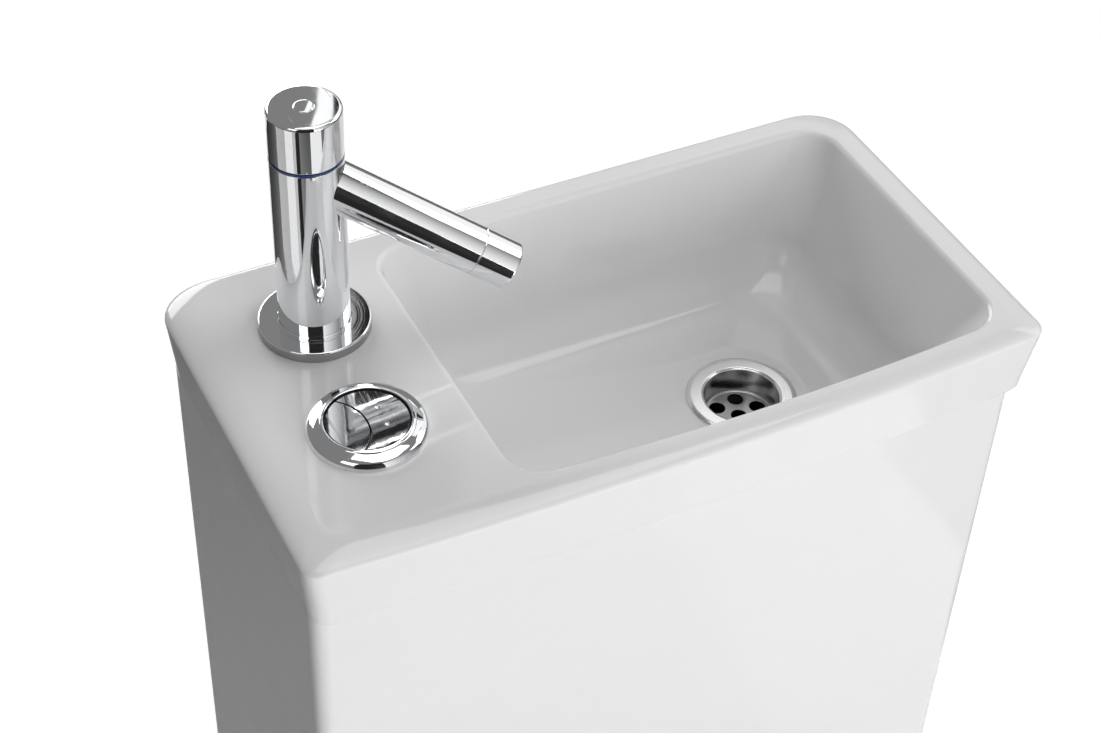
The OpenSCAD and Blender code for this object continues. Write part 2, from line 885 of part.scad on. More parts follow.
// Return spring between the housing's floor and a plate, wound round the plate's plunger
spring_turns = 6;
spring_wire_d = 1.4;
spring_d = plunger_d + 3 * spring_wire_d;
spring_steps = 12;
spring_sides = 6;
module button_spring(place) {
    low = z_deck - housing_depth + housing_floor + spring_wire_d / 2;
    high = z_plate - plate_t - spring_wire_d / 2;
    steps = spring_turns * spring_steps;
    coil = [
        for (i = [0:steps])
            let (a = 360 * i / spring_steps)
            [spring_d / 2 * cos(a), spring_d / 2 * sin(a), mix(low, high, i / steps)]
    ];
    color("silver")
    at(x_button + place[0], y_button + place[1]) tube(coil, spring_wire_d / 2, spring_sides, [0, 0, 1]);
}

// Sheaths from the button's glands down to the valve's head
z_gland = z_deck - housing_depth - gland_h;
z_cable_end = z_head + head_h + ferrule_h;
cable_straight = 20;
cable_sides = 8;
curve_steps = 3;
function cable_end(turn) = [
    cable_ring_d / 2 * cos(turn), y_valve + cable_ring_d / 2 * sin(turn), z_cable_end
];
cable_half_route = [
    [x_button + plunger_places[0][0], y_button, z_gland],
    [x_button + plunger_places[0][0], y_button, z_gland - cable_straight],
    [-180, 196, 760],
    [-140, 220, 722],
    [-80, 242, 712],
    [-38, 247, 698],
    cable_end(cable_turns[0]) + [0, 0, cable_straight],
    cable_end(cable_turns[0])
];
cable_full_route = [
    [x_button + plunger_places[1][0], y_button, z_gland],
    [x_button + plunger_places[1][0], y_button, z_gland - cable_straight],
    [-156, 189, 776],
    [-128, 198, 738],
    [-78, 212, 722],
    [-36, 216, 704],
    cable_end(cable_turns[1]) + [0, 0, cable_straight],
    cable_end(cable_turns[1])
];
module cable_half() {
    color("lightgray") tube(smooth_route(cable_half_route, curve_steps), cable_d / 2, cable_sides, [0, 1, 0]);
}
module cable_full() {
    color("lightgray") tube(smooth_route(cable_full_route, curve_steps), cable_d / 2, cable_sides, [0, 1, 0]);
}

// ---------- Tap ----------

shank_wall = 2;
neck_d = tap_shank_d - 2 * shank_wall;
neck_rise = 6;
neck_h = tap_base_h + neck_rise;
cartridge_d = 26;
cartridge_low = 62;
stem_d = 12;
spline_d = 8;
stem_rise = 3;
groove = 0.6;
base_round_r = 1.2;

module tap_base() {
    color("silver")
    at(x_tap, y_tap, z_deck)
    rotate_extrude()
    polygon(concat(
        [[neck_d / 2, 0], [tap_base_d / 2, 0]],
        arc([tap_base_d / 2 - base_round_r, tap_base_h - base_round_r], base_round_r, 0, 90),
        [[neck_d / 2, tap_base_h]]
    ));
}

// Places its children on the spout's axis, with +Z along the spout
module along_spout(distance = 0) {
    at(x_tap, y_tap, z_deck + spout_root_z)
    rotate([0, 0, -spout_turn])
    rotate([0, 90 + spout_slope, 0])
    at(0, 0, distance) children();
}

module tap_body() {
    r = tap_body_d / 2;
    collar_top = tap_base_h + tap_collar_h;
    color("silver")
    difference() {
        at(x_tap, y_tap, z_deck)
        rotate_extrude()
        polygon([
            [neck_d / 2, tap_base_h],
            [r + groove, tap_base_h],
            [r + groove, collar_top - groove],
            [r, collar_top],
            [r - groove, collar_top],
            [r - groove, collar_top + groove],
            [r, collar_top + groove],
            [r, tap_body_top],
            [cartridge_d / 2, tap_body_top],
            [cartridge_d / 2, cartridge_low],
            [hose_d / 2 + hole_gap, cartridge_low],
            [hose_d / 2 + hole_gap, neck_h],
            [neck_d / 2, neck_h]
        ]);
        along_spout(cartridge_d / 4) cylinder(d = spout_bore_d, h = tap_body_d);
    }
}

module tap_cartridge() {
    color("goldenrod")
    difference() {
        at(x_tap, y_tap, z_deck) {
            at(0, 0, cartridge_low) cylinder(d = cartridge_d, h = tap_body_top - cartridge_low);
            at(0, 0, tap_body_top) cylinder(d = stem_d, h = index_t + stem_rise);
            at(0, 0, tap_body_top + index_t + stem_rise) cylinder(d = spline_d, h = knob_h / 2);
        }
        along_spout() cylinder(d = spout_bore_d / 2, h = tap_body_d);
    }
}

module tap_index_ring() {
    color("royalblue")
    at(x_tap, y_tap, z_deck + tap_body_top) ring(tap_body_d - 2 * slip, stem_d, index_t);
}

knob_gap = 0.4;
knob_round_r = 2.4;
knob_foot_r = 0.6;
plug_h = 4;
plug_round_r = 0.6;
module tap_knob() {
    r = tap_body_d / 2;
    low = tap_body_top + index_t + knob_gap;
    top = low + knob_h;
    color("silver")
    at(x_tap, y_tap, z_deck)
    rotate_extrude()
    polygon(concat(
        [
            [spline_d / 2 + slip, low + stem_rise],
            [stem_d / 2 + part_gap, low + stem_rise],
            [stem_d / 2 + part_gap, low],
            [r - knob_foot_r, low],
            [r, low + knob_foot_r]
        ],
        arc([r - knob_round_r, top - knob_round_r], knob_round_r, 0, 90),
        [
            [knob_plug_d / 2, top],
            [knob_plug_d / 2, top - plug_h],
            [spline_d / 2 + slip, top - plug_h]
        ]
    ));
}

module tap_knob_plug() {
    top = tap_body_top + index_t + knob_gap + knob_h;
    color("silver")
    at(x_tap, y_tap, z_deck + top - plug_h)
    rotate_extrude()
    polygon(concat(
        [[0, 0], [knob_plug_d / 2, 0]],
        arc([knob_plug_d / 2 - plug_round_r, plug_h], plug_round_r, 0, 90),
        [[0, plug_h + plug_round_r]]
    ));
}

seam = 0.5;
tip_round_r = 1.6;
aerator_wall = 3;
aerator_h = 7;
aerator_recess = 9;
jet_d = 3.4;
jet_ring_r = 6;
module tap_spout() {
    straight = spout_len - aerator_len;
    color("silver")
    difference() {
        along_spout() cylinder(d = spout_d, h = straight);
        along_spout(-cut) cylinder(d = spout_bore_d, h = straight + 2 * cut);
        at(x_tap, y_tap, z_deck + tap_base_h) cylinder(d = tap_body_d, h = tap_body_top);
    }
}

module aerator_sleeve() {
    r = spout_d / 2;
    inner = spout_bore_d / 2 + aerator_wall;
    color("silver")
    along_spout(spout_len - aerator_len)
    rotate_extrude()
    polygon(concat(
        [
            [spout_bore_d / 2, 0],
            [r - seam, 0],
            [r - seam, seam],
            [r, seam]
        ],
        arc([r - tip_round_r, aerator_len - tip_round_r], tip_round_r, 0, 90),
        [
            [inner, aerator_len],
            [inner, aerator_len - aerator_recess],
            [spout_bore_d / 2, aerator_len - aerator_recess]
        ]
    ));
}

module aerator_insert() {
    color("gray")
    along_spout(spout_len - aerator_recess)
    difference() {
        cylinder(d = spout_bore_d + 2 * aerator_wall, h = aerator_h);
        for (turn = [0:60:300])
            rotate([0, 0, turn]) at(jet_ring_r, 0, -cut) cylinder(d = jet_d, h = aerator_h + 2 * cut);
        at(0, 0, -cut) cylinder(d = jet_d, h = aerator_h + 2 * cut);
    }
}

shank_floor = 14;
hose_bore_d = 8;
module tap_shank() {
    color("goldenrod")
    at(x_tap, y_tap, z_deck - tap_shank_len)
    difference() {
        union() {
            cylinder(d = tap_shank_d, h = tap_shank_len);
            at(0, 0, tap_shank_len - sink) cylinder(d = neck_d, h = neck_h + sink);
        }
        at(0, 0, shank_floor) cylinder(d = hose_d + 2 * hole_gap, h = tap_shank_len + neck_h);
        at(0, 0, -cut) cylinder(d = hose_bore_d, h = shank_floor + 2 * cut);
    }
}

tap_nut_w = 44;
tap_nut_h = 7;
tap_washer_d = 52;
tap_washer_t = 3;
module tap_nut() {
    color("silver")
    at(x_tap, y_tap, z_deck - deck_t - tap_washer_t - tap_nut_h) {
        hex_nut(tap_nut_w, tap_shank_d, tap_nut_h);
        at(0, 0, tap_nut_h) ring(tap_washer_d, tap_shank_d, tap_washer_t);
    }
}

// Hose from the tap's shank down to its inlet in the cistern's floor
tail_up = 40;
z_tail_top = z_inside + tail_up;
hose_straight = 30;
hose_sides = 10;
hose_route = [
    [x_tap, y_tap, z_deck - tap_shank_len],
    [x_tap, y_tap, z_deck - tap_shank_len - hose_straight],
    [-166, 286, 740],
    [-172, 282, 640],
    [-192, 272, 560],
    [-inlet_x, y_inlet, z_tail_top + hose_straight],
    [-inlet_x, y_inlet, z_tail_top]
];
module tap_hose() {
    color("lightgray") tube(smooth_route(hose_route, curve_steps), hose_d / 2, hose_sides, [0, 1, 0]);
}

inlet_nut_w = 33;
inlet_nut_h = 8;
z_inlet_shank = z_cistern - inlet_nut_h;
z_inlet = z_inlet_shank - inlet_len;
inlet_flange_d = 34;
inlet_flange_t = 5;
inlet_bore_d = 12;
tail_end_t = 4;
module tap_inlet() {
    color("goldenrod")
    at(-inlet_x, y_inlet)
    difference() {
        union() {
            at(0, 0, z_inlet) cylinder(d = inlet_thread_d, h = inlet_len + sink);
            at(0, 0, z_inlet_shank) cylinder(d = inlet_shank_d, h = z_tail_top - z_inlet_shank);
            at(0, 0, z_inside) cylinder(d = inlet_flange_d, h = inlet_flange_t);
        }
        at(0, 0, z_inlet - cut) cylinder(d = inlet_bore_d, h = z_tail_top - tail_end_t - z_inlet + cut);
    }
}

module inlet_nut(side) {
    at(side * inlet_x, y_inlet, z_inlet_shank) hex_nut(inlet_nut_w, inlet_shank_d, inlet_nut_h);
}
module tap_inlet_nut() {
    color("white") inlet_nut(-1);
}

// ---------- Waste ----------

flange_rim_h = 0.8;
flange_edge = 3;
tail_wall = 3;
cup_lean = 1.7;
cup_fillet = 1.2;
strainer_ledge = 1;
strainer_share = 0.66;
strainer_turn = 9;
tail_end_z = -bowl_wall - waste_tail_len;

module waste_body() {
    cup = waste_cup_d / 2;
    strainer_r = cup - cup_lean;
    tail = waste_tail_d / 2;
    tail_bore = tail - tail_wall;
    color("silver")
    at(x_waste, y_waste, z_bowl_floor)
    difference() {
        rotate_extrude()
        polygon([
            [0, strainer_z],
            [strainer_r - cup_fillet, strainer_z],
            [strainer_r, strainer_z + cup_fillet],
            [cup, flange_t - flange_rim_h / 2],
            [cup + flange_rim_h, flange_t],
            [waste_flange_d / 2 - flange_edge, flange_t],
            [waste_flange_d / 2, flange_rim_h],
            [waste_flange_d / 2, 0],
            [cup_outer_r, 0],
            [cup_outer_r, cup_under_z],
            [tail, shoulder_z],
            [tail, tail_end_z],
            [tail_bore, tail_end_z],
            [tail_bore, shoulder_z],
            [strainer_r - strainer_ledge, cup_under_z],
            [0, cup_under_z]
        ]);
        for (turn = [0:60:300])
            rotate([0, 0, turn + strainer_turn]) at(strainer_r * strainer_share, 0, cup_under_z - cut)
                cylinder(d = strainer_hole_d, h = strainer_t + 2 * cut);
        at(0, 0, cup_under_z - cut) cylinder(d = strainer_hole_d, h = strainer_t + 2 * cut);
    }
}

waste_gasket_wall = 9;
waste_gasket_t = 4;
waste_nut_wall = 7;
waste_nut_h = 14;
z_boss = z_bowl_floor + boss_z;
module waste_gasket() {
    color("dimgray")
    at(x_waste, y_waste, z_boss - waste_gasket_t)
        ring(waste_tail_d + 2 * waste_gasket_wall, waste_tail_d, waste_gasket_t);
}
module waste_nut() {
    color("white")
    at(x_waste, y_waste, z_boss - waste_gasket_t - waste_nut_h)
        hex_nut(waste_tail_d + 2 * waste_nut_wall, waste_tail_d, waste_nut_h);
}

socket_h = 24;
module drain_pipe() {
    top = z_bowl_floor + tail_end_z + socket_h;
    color("lightgray")
    at(x_waste, y_waste, top - drain_len)
    difference() {
        union() {
            cylinder(d = waste_tail_d, h = drain_len);
            at(0, 0, drain_len - socket_h - drain_wall)
                cylinder(d = waste_tail_d + 2 * drain_wall, h = socket_h + drain_wall);
        }
        at(0, 0, -cut) cylinder(d = waste_tail_d - 2 * drain_wall, h = drain_len + 2 * cut);
        at(0, 0, drain_len - socket_h) cylinder(d = waste_tail_d, h = socket_h + cut);
    }
}

// ---------- Fill valve ----------

fill_head_h = 26;
fill_head_rim = 6;
z_fill_head = z_inside + column_h;
lever_w = 10;
lever_t = 4;
lever_end = 6;
lever_pivot_x = 10;
lever_pin_d = 3;
cheek = [8, 3];
cheek_gap = 1.5;
link_inset = 5;
link_x = link_inset - float_d / 2;
link_d = 3;
fork_gap = 0.8;
fork_end = 7;
lever_arm = lever_pivot_x - link_x;
lever_dip = float_travel / lever_arm * (lever_pivot_x + column_d / 2 + fill_head_rim);
z_lever = z_fill_head + fill_head_h + lever_dip + lever_t;
link_collar_h = 3;
float_drop = 12;
float_low = z_fill_head - float_h - float_drop;
float_wall = 2.5;

module fill_valve() {
    color("white")
    at(inlet_x, y_inlet)
    difference() {
        union() {
            at(0, 0, z_inlet) cylinder(d = inlet_thread_d, h = inlet_len + sink);
            at(0, 0, z_inlet_shank) cylinder(d = inlet_shank_d, h = z_inside - z_inlet_shank + sink);
            at(0, 0, z_inside) cylinder(d = inlet_flange_d, h = inlet_flange_t);
            at(0, 0, z_inside) cylinder(d = column_d, h = column_h);
            at(0, 0, z_fill_head) cylinder(d = column_d + 2 * fill_head_rim, h = fill_head_h);
            for (side = [-1, 1])
                at(
                    lever_pivot_x - cheek[0] / 2,
                    side * (lever_w + cheek[1] + 2 * cheek_gap) / 2 - cheek[1] / 2,
                    z_fill_head + fill_head_h - sink
                )
                    cube([cheek[0], cheek[1], lever_dip + 2 * lever_t + sink]);
            at(lever_pivot_x, 0, z_lever)
                rotate([90, 0, 0])
                cylinder(d = lever_pin_d, h = lever_w + 2 * cheek_gap + cheek[1], center = true);
        }
        at(0, 0, z_inlet - cut) cylinder(d = inlet_bore_d, h = z_fill_head + fill_head_h / 2 - z_inlet + cut);
    }
}

module fill_valve_nut() {
    color("white") inlet_nut(1);
}

module fill_valve_float() {
    color("lightsteelblue")
    at(inlet_x, y_inlet, float_low)
    difference() {
        union() {
            cylinder(d = float_d, h = float_h);
            at(link_x, 0, float_h - sink)
                cylinder(d = link_d, h = z_lever + lever_t + link_collar_h - float_low - float_h + sink);
            for (low = [lever_t, -lever_t - link_collar_h])
                at(link_x, 0, z_lever + low - float_low) cylinder(d = 2 * link_d, h = link_collar_h);
        }
        at(0, 0, -cut) cylinder(d = column_d + 2 * slip, h = float_h + 2 * cut);
        at(0, 0, -cut) ring(float_d - 2 * float_wall, column_d + 2 * float_wall, float_h - float_wall + cut);
    }
}

module fill_valve_lever() {
    color("royalblue")
    at(inlet_x, y_inlet, z_lever)
    difference() {
        at(link_x - fork_end, -lever_w / 2, -lever_t / 2)
            cube([lever_arm + fork_end + lever_end, lever_w, lever_t]);
        at(lever_pivot_x, 0)
            rotate([90, 0, 0]) cylinder(d = lever_pin_d + 2 * slip, h = lever_w + 2 * cut, center = true);
        at(link_x - fork_end - cut, -link_d / 2 - fork_gap, -lever_t)
            cube([2 * fork_end, link_d + 2 * fork_gap, 2 * lever_t]);
    }
}

// ---------- Pan ----------

pan_half = pan_w / 2;
shelf_half = inlet_x - inlet_nut_w / 2 / cos(30) - shelf_gap;
foot_half = foot_w / 2;
y_pan_back = y_wall - pan_back_gap;
roundness = 0.62;
foot_shift = 60;
y_pan_mid = y_pan_front + pan_w * roundness;
y_foot_front = y_pan_front + foot_setback;
pan_back_r = 12;
flare_start = 0.12;
flare_power = 3.2;

// Share of the flare from the foot (0) to the rim (1) at a share of the height
function flare(s) = pow(sin(90 * max(0, (s - flare_start) / (1 - flare_start))), flare_power);
function pan_outline(s, inset) =
    let (k = flare(s))
    horseshoe(
        mix(foot_half, pan_half, k) - inset,
        mix(foot_half, shelf_half, k) - inset,
        mix(y_foot_front, y_pan_front, k) + inset,
        mix(y_pan_mid + foot_shift, y_pan_mid, k),
        y_pan_back,
        pan_back_r
    );
pan_levels = [0, 0.1, 0.2, 0.3, 0.4, 0.5, 0.6, 0.7, 0.8, 0.88];
z_pan_edge = pan_h - pan_edge_r;
pan_rings = concat(
    [for (s = pan_levels) at_height(pan_outline(s, 0), s * z_pan_edge)],
    [for (i = [0:edge_steps])
        let (a = 90 * i / edge_steps)
        at_height(pan_outline(1, pan_edge_r * (1 - cos(a))), z_pan_edge + pan_edge_r * sin(a))]
);
// Hollow of the pan, open to the floor and to the back
hollow_reach = 40;
hollow_top_gap = 4;
function pan_hollow_outline(s) =
    let (k = flare(s))
    horseshoe(
        mix(foot_half, pan_half, k) - pan_wall,
        mix(foot_half, shelf_half, k) - pan_wall,
        mix(y_foot_front, y_pan_front, k) + pan_wall,
        mix(y_pan_mid + foot_shift, y_pan_mid, k),
        y_pan_back + hollow_reach,
        hollow_back_r
    );
z_pan_under = pan_h - pan_top_t;
hollow_rings = concat(
    [at_height(pan_hollow_outline(0), -cut)],
    [for (s = pan_levels)
        if (s > 0 && s * z_pan_edge < z_pan_under - hollow_top_gap)
            at_height(pan_hollow_outline(s), s * z_pan_edge)],
    [at_height(pan_hollow_outline(1), z_pan_under)]
);

// Bowl: share 0 at the rim and 1 at the sump
y_bowl_front = y_pan_front + bowl_setback;
y_bowl_back = y_bowl_front + bowl_len;
sump_gap = 4;
sump_half = trap_d / 2 + sump_gap;
sump_setback = 50;
sump_depth = 14;
sump_round = 12;
z_sump = 142;
y_sump = y_bowl_back - sump_setback;
bowl_back_taper = 22;
bowl_back_r = 48;
sump_back_r = 24;
bowl_power = 1.7;
bowl_front_power = 1.35;
bowl_levels = [0, 0.12, 0.3, 0.5, 0.68, 0.82, 0.92, 1];
function bowl_ring(share, wall) =
    let (k = pow(share, bowl_power), front_k = pow(share, bowl_front_power))
    at_height(
        horseshoe(
            mix(bowl_w / 2, sump_half, k) + wall,
            mix(bowl_w / 2 - bowl_back_taper, sump_half - sump_gap, k) + wall,
            mix(y_bowl_front, y_sump - sump_half, front_k) - wall,
            mix(y_bowl_front + bowl_w * roundness, y_sump, k),
            mix(y_bowl_back, y_sump + sump_half, k) + wall,
            mix(bowl_back_r, sump_back_r, k)
        ),
        mix(pan_h, z_sump, share)
    );
function pan_bowl(wall) =
    concat(
        [at_height([for (p = bowl_ring(1, wall - sump_round)) [p[0], p[1]]], z_sump - sump_depth - wall)],
        [for (share = reverse(bowl_levels)) bowl_ring(share, wall)]
    );

crest_rise = 20;
trap_route = [
    [0, y_sump, z_sump + 20],
    [0, y_sump + 14, z_sump - 24],
    [0, y_sump + 60, z_sump - 52],
    [0, y_sump + 108, z_sump - 34],
    [0, y_sump + 142, z_sump + 22],
    [0, y_sump + 180, spigot_z + crest_rise],
    [0, y_sump + 226, spigot_z + 14],
    [0, y_wall - spigot_gap - spigot_len - 10, spigot_z],
    [0, y_wall - spigot_gap - spigot_len + 20, spigot_z]
];
trap_wall = 9;
spigot_bore_d = 84;
trap_sides = 20;
trap_steps = 2;
duct_half = 34;
duct_h = 44;
duct_wall = 9;
duct_reach = 20;
y_duct_front = y_bowl_back - duct_reach;
chamber_gap = 11;
chamber_d = valve_shank_d + 2 * chamber_gap;
ear_r = 19;
ear_h = 14;
ear_reach = 12;
ear_x = foot_half + ear_reach;
bowl_wall_t = pan_wall - 1;
hinge_bolt_gap = 2;

module pan_shell() {
    difference() {
        loft(pan_rings);
        loft(hollow_rings);
    }
}

module pan_duct(grow, front, back) {
    translate([-duct_half - grow, front, z_pan_under - duct_h - grow])
        cube([2 * (duct_half + grow), back - front, duct_h + grow + sink]);
}

module fired_pan() {
    y_spigot = y_wall - spigot_gap;
    hinge_hole_d = hinge_bolt_d + 2 * hinge_bolt_gap;
    difference() {
        union() {
            pan_shell();
            intersection() {
                union() {
                    loft(pan_bowl(bowl_wall_t));
                    pan_duct(duct_wall, y_duct_front, y_valve + chamber_d / 2 + duct_wall);
                }
                loft(pan_rings);
            }
            tube(smooth_route(trap_route, trap_steps), trap_d / 2 + trap_wall, trap_sides, [1, 0, 0]);
            at(0, y_spigot, spigot_z) rotate([90, 0, 0]) cylinder(d = spigot_d, h = spigot_len);
            for (side = [-1, 1])
                at(side * ear_x, y_wall - floor_hole_y) {
                    cylinder(r = ear_r, h = ear_h);
                    translate([side > 0 ? -ear_r : 0, -ear_r, 0]) cube([ear_r, 2 * ear_r, ear_h]);
                }
        }
        loft(concat(pan_bowl(0), [at_height([for (p = bowl_ring(0, 0)) [p[0], p[1]]], pan_h + cut)]));
        pan_duct(0, y_duct_front - duct_reach, y_valve);
        at(0, y_valve, z_pan_under - duct_h) cylinder(d = chamber_d, h = duct_h + pan_top_t + cut);
        at(0, y_valve, pan_h - recess_h) cylinder(d = doughnut_d + hole_gap, h = recess_h + cut);
        tube(smooth_route(trap_route, trap_steps), trap_d / 2, trap_sides, [1, 0, 0]);
        at(0, y_spigot + cut, spigot_z) rotate([90, 0, 0]) cylinder(d = spigot_bore_d, h = spigot_len);
        for (side = [-1, 1]) {
            at(side * bolt_span / 2, y_valve, z_pan_under - cut)
                cylinder(d = bolt_hole_d, h = pan_top_t + 2 * cut);
            at(side * hinge_span / 2, y_hinge, z_pan_under - cut)
                cylinder(d = hinge_hole_d, h = pan_top_t + 2 * cut);
            at(side * ear_x, y_wall - floor_hole_y, -cut)
                cylinder(d = floor_hole_d, h = ear_h + 2 * cut);
        }
    }
}

// The pan is cast in two pieces that are joined level, just over the trapway's crest
joint_gap = 8;
z_joint = spigot_z + crest_rise + trap_d / 2 + trap_wall + joint_gap;
module casting(low, high) {
    color("white")
    intersection() {
        fired_pan();
        translate([-pan_w, y_pan_front - cut, low]) cube([2 * pan_w, pan_projection, high - low]);
    }
}
module pan() {
    casting(z_joint, pan_h + cut);
}
module pan_foot() {
    casting(-cut, z_joint);
}

// ---------- Seat, lid and hinges ----------

hinge_bolt_d = 8;
post_w = 16;
lug_w = 12;
lug_gap = 1;
post_foot_h = 4;
z_seat = pan_h + seat_foot_h;
lid_foot_h = 3;
z_lid = z_seat + seat_t + lid_foot_h;
hinge_reach = 14;
plate_back = y_hinge - hinge_reach;
seat_w = pan_w + 2 * seat_lip;
seat_half = seat_w / 2;
seat_taper = 14;
seat_front = y_pan_front - seat_lip;
seat_roundness = 0.64;
seat_mid = seat_front + seat_w * seat_roundness;
seat_back_r = 44;
seat_hole_back = 56;
seat_hole_r = 50;
seat_hole_shift = 6;

function seat_outline(inset) =
    horseshoe(
        seat_half - inset, seat_half - seat_taper - inset, seat_front + inset, seat_mid,
        plate_back - inset, seat_back_r - inset
    );
function seat_hole(inset) =
    horseshoe(
        seat_half - seat_band - inset, seat_half - seat_band - seat_taper - inset,
        seat_front + seat_band + inset, seat_mid - seat_hole_shift, plate_back - seat_hole_back - inset,
        seat_hole_r - inset
    );
seat_edge_r = 7;
under_round = 2;
lug_drop = 2;
module seat() {
    color("white") {
        difference() {
            loft(concat(
                [at_height(seat_outline(under_round), z_seat)],
                [at_height(seat_outline(0), z_seat + under_round)],
                [for (i = [0:edge_steps])
                    let (a = 90 * i / edge_steps)
                    at_height(
                        seat_outline(seat_edge_r * (1 - cos(a))),
                        z_seat + seat_t - seat_edge_r * (1 - sin(a))
                    )]
            ));
            loft(concat(
                [at_height(seat_hole(0), z_seat - cut)],
                [for (i = [0:edge_steps])
                    let (a = 90 * i / edge_steps)
                    at_height(
                        seat_hole(-seat_edge_r * (1 - cos(a))),
                        z_seat + seat_t - seat_edge_r * (1 - sin(a))
                    )],
                [at_height(seat_hole(-seat_edge_r), z_seat + seat_t + cut)]
            ));
        }
        for (side = [-1, 1])
            hinge_lug(
                side * (hinge_span + post_w + lug_w + 2 * lug_gap) / 2,
                z_seat, z_seat + seat_t - lug_drop
            );
    }
}

// Lug around the hinge pin, joined to the plate in front of it between two heights
lug_reach = 8;
module hinge_lug(x, low, high) {
    at(x, y_hinge, z_hinge)
    difference() {
        union() {
            rod_x(barrel_d, lug_w);
            at(-lug_w / 2, -hinge_reach - lug_reach, low - z_hinge)
                cube([lug_w, hinge_reach + lug_reach, high - low]);
        }
        rod_x(hinge_pin_d + 2 * slip, lug_w + 2 * cut);
    }
}

lid_edge_r = 9;
lid_lug_h = 6;
module lid() {
    color("white") {
        loft(concat(
            [at_height(seat_outline(under_round), z_lid)],
            [at_height(seat_outline(0), z_lid + under_round)],
            [for (i = [0:edge_steps])
                let (a = 90 * i / edge_steps)
                at_height(
                    seat_outline(lid_edge_r * (1 - cos(a))),
                    z_lid + lid_t - lid_edge_r * (1 - sin(a))
                )]
        ));
        for (side = [-1, 1])
            hinge_lug(
                side * (hinge_span - post_w - lug_w - 2 * lug_gap) / 2,
                z_hinge, z_lid + lid_lug_h
            );
    }
}

post_foot_d = 30;
post_depth = 14;
hinge_bolt_tail = 30;
module hinge_post(side) {
    pin_len = post_w + 2 * (lug_w + lug_gap);
    color("silver")
    at(side * hinge_span / 2, y_hinge) {
        at(0, 0, pan_h) cylinder(d = post_foot_d, h = post_foot_h);
        at(-post_w / 2, -post_depth / 2, pan_h + post_foot_h - sink)
            cube([post_w, post_depth, hinge_z - post_foot_h + sink]);
        at(0, 0, z_hinge) rod_x(barrel_d, post_w);
        at(0, 0, z_hinge) rod_x(hinge_pin_d, pin_len);
        at(0, 0, z_pan_under - hinge_bolt_tail)
            cylinder(d = hinge_bolt_d, h = hinge_bolt_tail + pan_top_t + sink);
    }
}

hinge_nut_d = 26;
hinge_nut_h = 12;
module hinge_nut(side) {
    color("white")
    at(side * hinge_span / 2, y_hinge, z_pan_under - hinge_nut_h)
        ring(hinge_nut_d, hinge_bolt_d, hinge_nut_h);
}

foot_d = 14;
foot_inset = 49;
foot_x = seat_half - foot_inset;
foot_setback_y = 60;
seat_foot_front_y = seat_mid - foot_setback_y;
seat_foot_back_y = plate_back - foot_setback_y;
module seat_foot(side, y) {
    color("lightgray")
    at(side * foot_x, y, pan_h + slip) cylinder(d = foot_d, h = seat_foot_h - slip);
}

lid_foot_inset = 74;
lid_foot_x = seat_half - lid_foot_inset;
module lid_feet() {
    color("lightgray")
    for (side = [-1, 1])
        at(side * lid_foot_x, seat_foot_front_y, z_lid - lid_foot_h + slip)
            cylinder(d = foot_d, h = lid_foot_h - slip);
}

pan();
pan_foot();
cistern();
basin();
basin_gasket();
doughnut_seal();
cistern_bolt(-1);  // cistern_bolt_left
cistern_bolt(1);  // cistern_bolt_right
bolt_washer(-1);  // bolt_washer_left
bolt_washer(1);  // bolt_washer_right
wing_nut(-1);  // wing_nut_left
wing_nut(1);  // wing_nut_right
flush_valve_body();
flush_valve_head();
flush_backnut();
overflow_tube();
flush_seal();
half_catch();
cable_half();
cable_full();
button_collar();
button_housing();
button_nut();
plate_half();
plate_full();
button_spring(plunger_places[0]);  // spring_half
button_spring(plunger_places[1]);  // spring_full
tap_base();
tap_body();
tap_index_ring();
tap_knob();
tap_knob_plug();
tap_cartridge();
tap_spout();
aerator_sleeve();
aerator_insert();
tap_shank();
tap_nut();
tap_hose();
tap_inlet();
tap_inlet_nut();
waste_body();
waste_gasket();
waste_nut();
drain_pipe();
fill_valve();
fill_valve_nut();
fill_valve_float();
fill_valve_lever();
seat();
lid();
hinge_post(-1);  // hinge_post_left
hinge_post(1);  // hinge_post_right
hinge_nut(-1);  // hinge_nut_left
hinge_nut(1);  // hinge_nut_right
seat_foot(-1, seat_foot_front_y);  // seat_foot_front_left
seat_foot(1, seat_foot_front_y);  // seat_foot_front_right
seat_foot(-1, seat_foot_back_y);  // seat_foot_back_left
seat_foot(1, seat_foot_back_y);  // seat_foot_back_right
lid_feet();
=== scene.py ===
import math

import bmesh
import bpy
from mathutils import Matrix, Vector


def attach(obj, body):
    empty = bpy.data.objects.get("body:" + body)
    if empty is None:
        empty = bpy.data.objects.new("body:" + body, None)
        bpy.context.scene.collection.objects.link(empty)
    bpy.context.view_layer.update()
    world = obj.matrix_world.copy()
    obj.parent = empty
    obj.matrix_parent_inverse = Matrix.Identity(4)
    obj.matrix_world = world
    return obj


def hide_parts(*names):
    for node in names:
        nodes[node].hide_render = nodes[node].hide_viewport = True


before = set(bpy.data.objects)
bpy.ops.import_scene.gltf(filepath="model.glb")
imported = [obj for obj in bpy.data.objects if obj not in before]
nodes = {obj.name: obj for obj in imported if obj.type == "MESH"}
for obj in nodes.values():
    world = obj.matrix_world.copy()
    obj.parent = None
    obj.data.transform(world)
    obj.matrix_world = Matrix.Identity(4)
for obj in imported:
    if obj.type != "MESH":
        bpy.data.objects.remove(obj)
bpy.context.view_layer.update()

# Every shape is drawn in millimetres and brought to metres when its piece is finished.
MM = 0.001

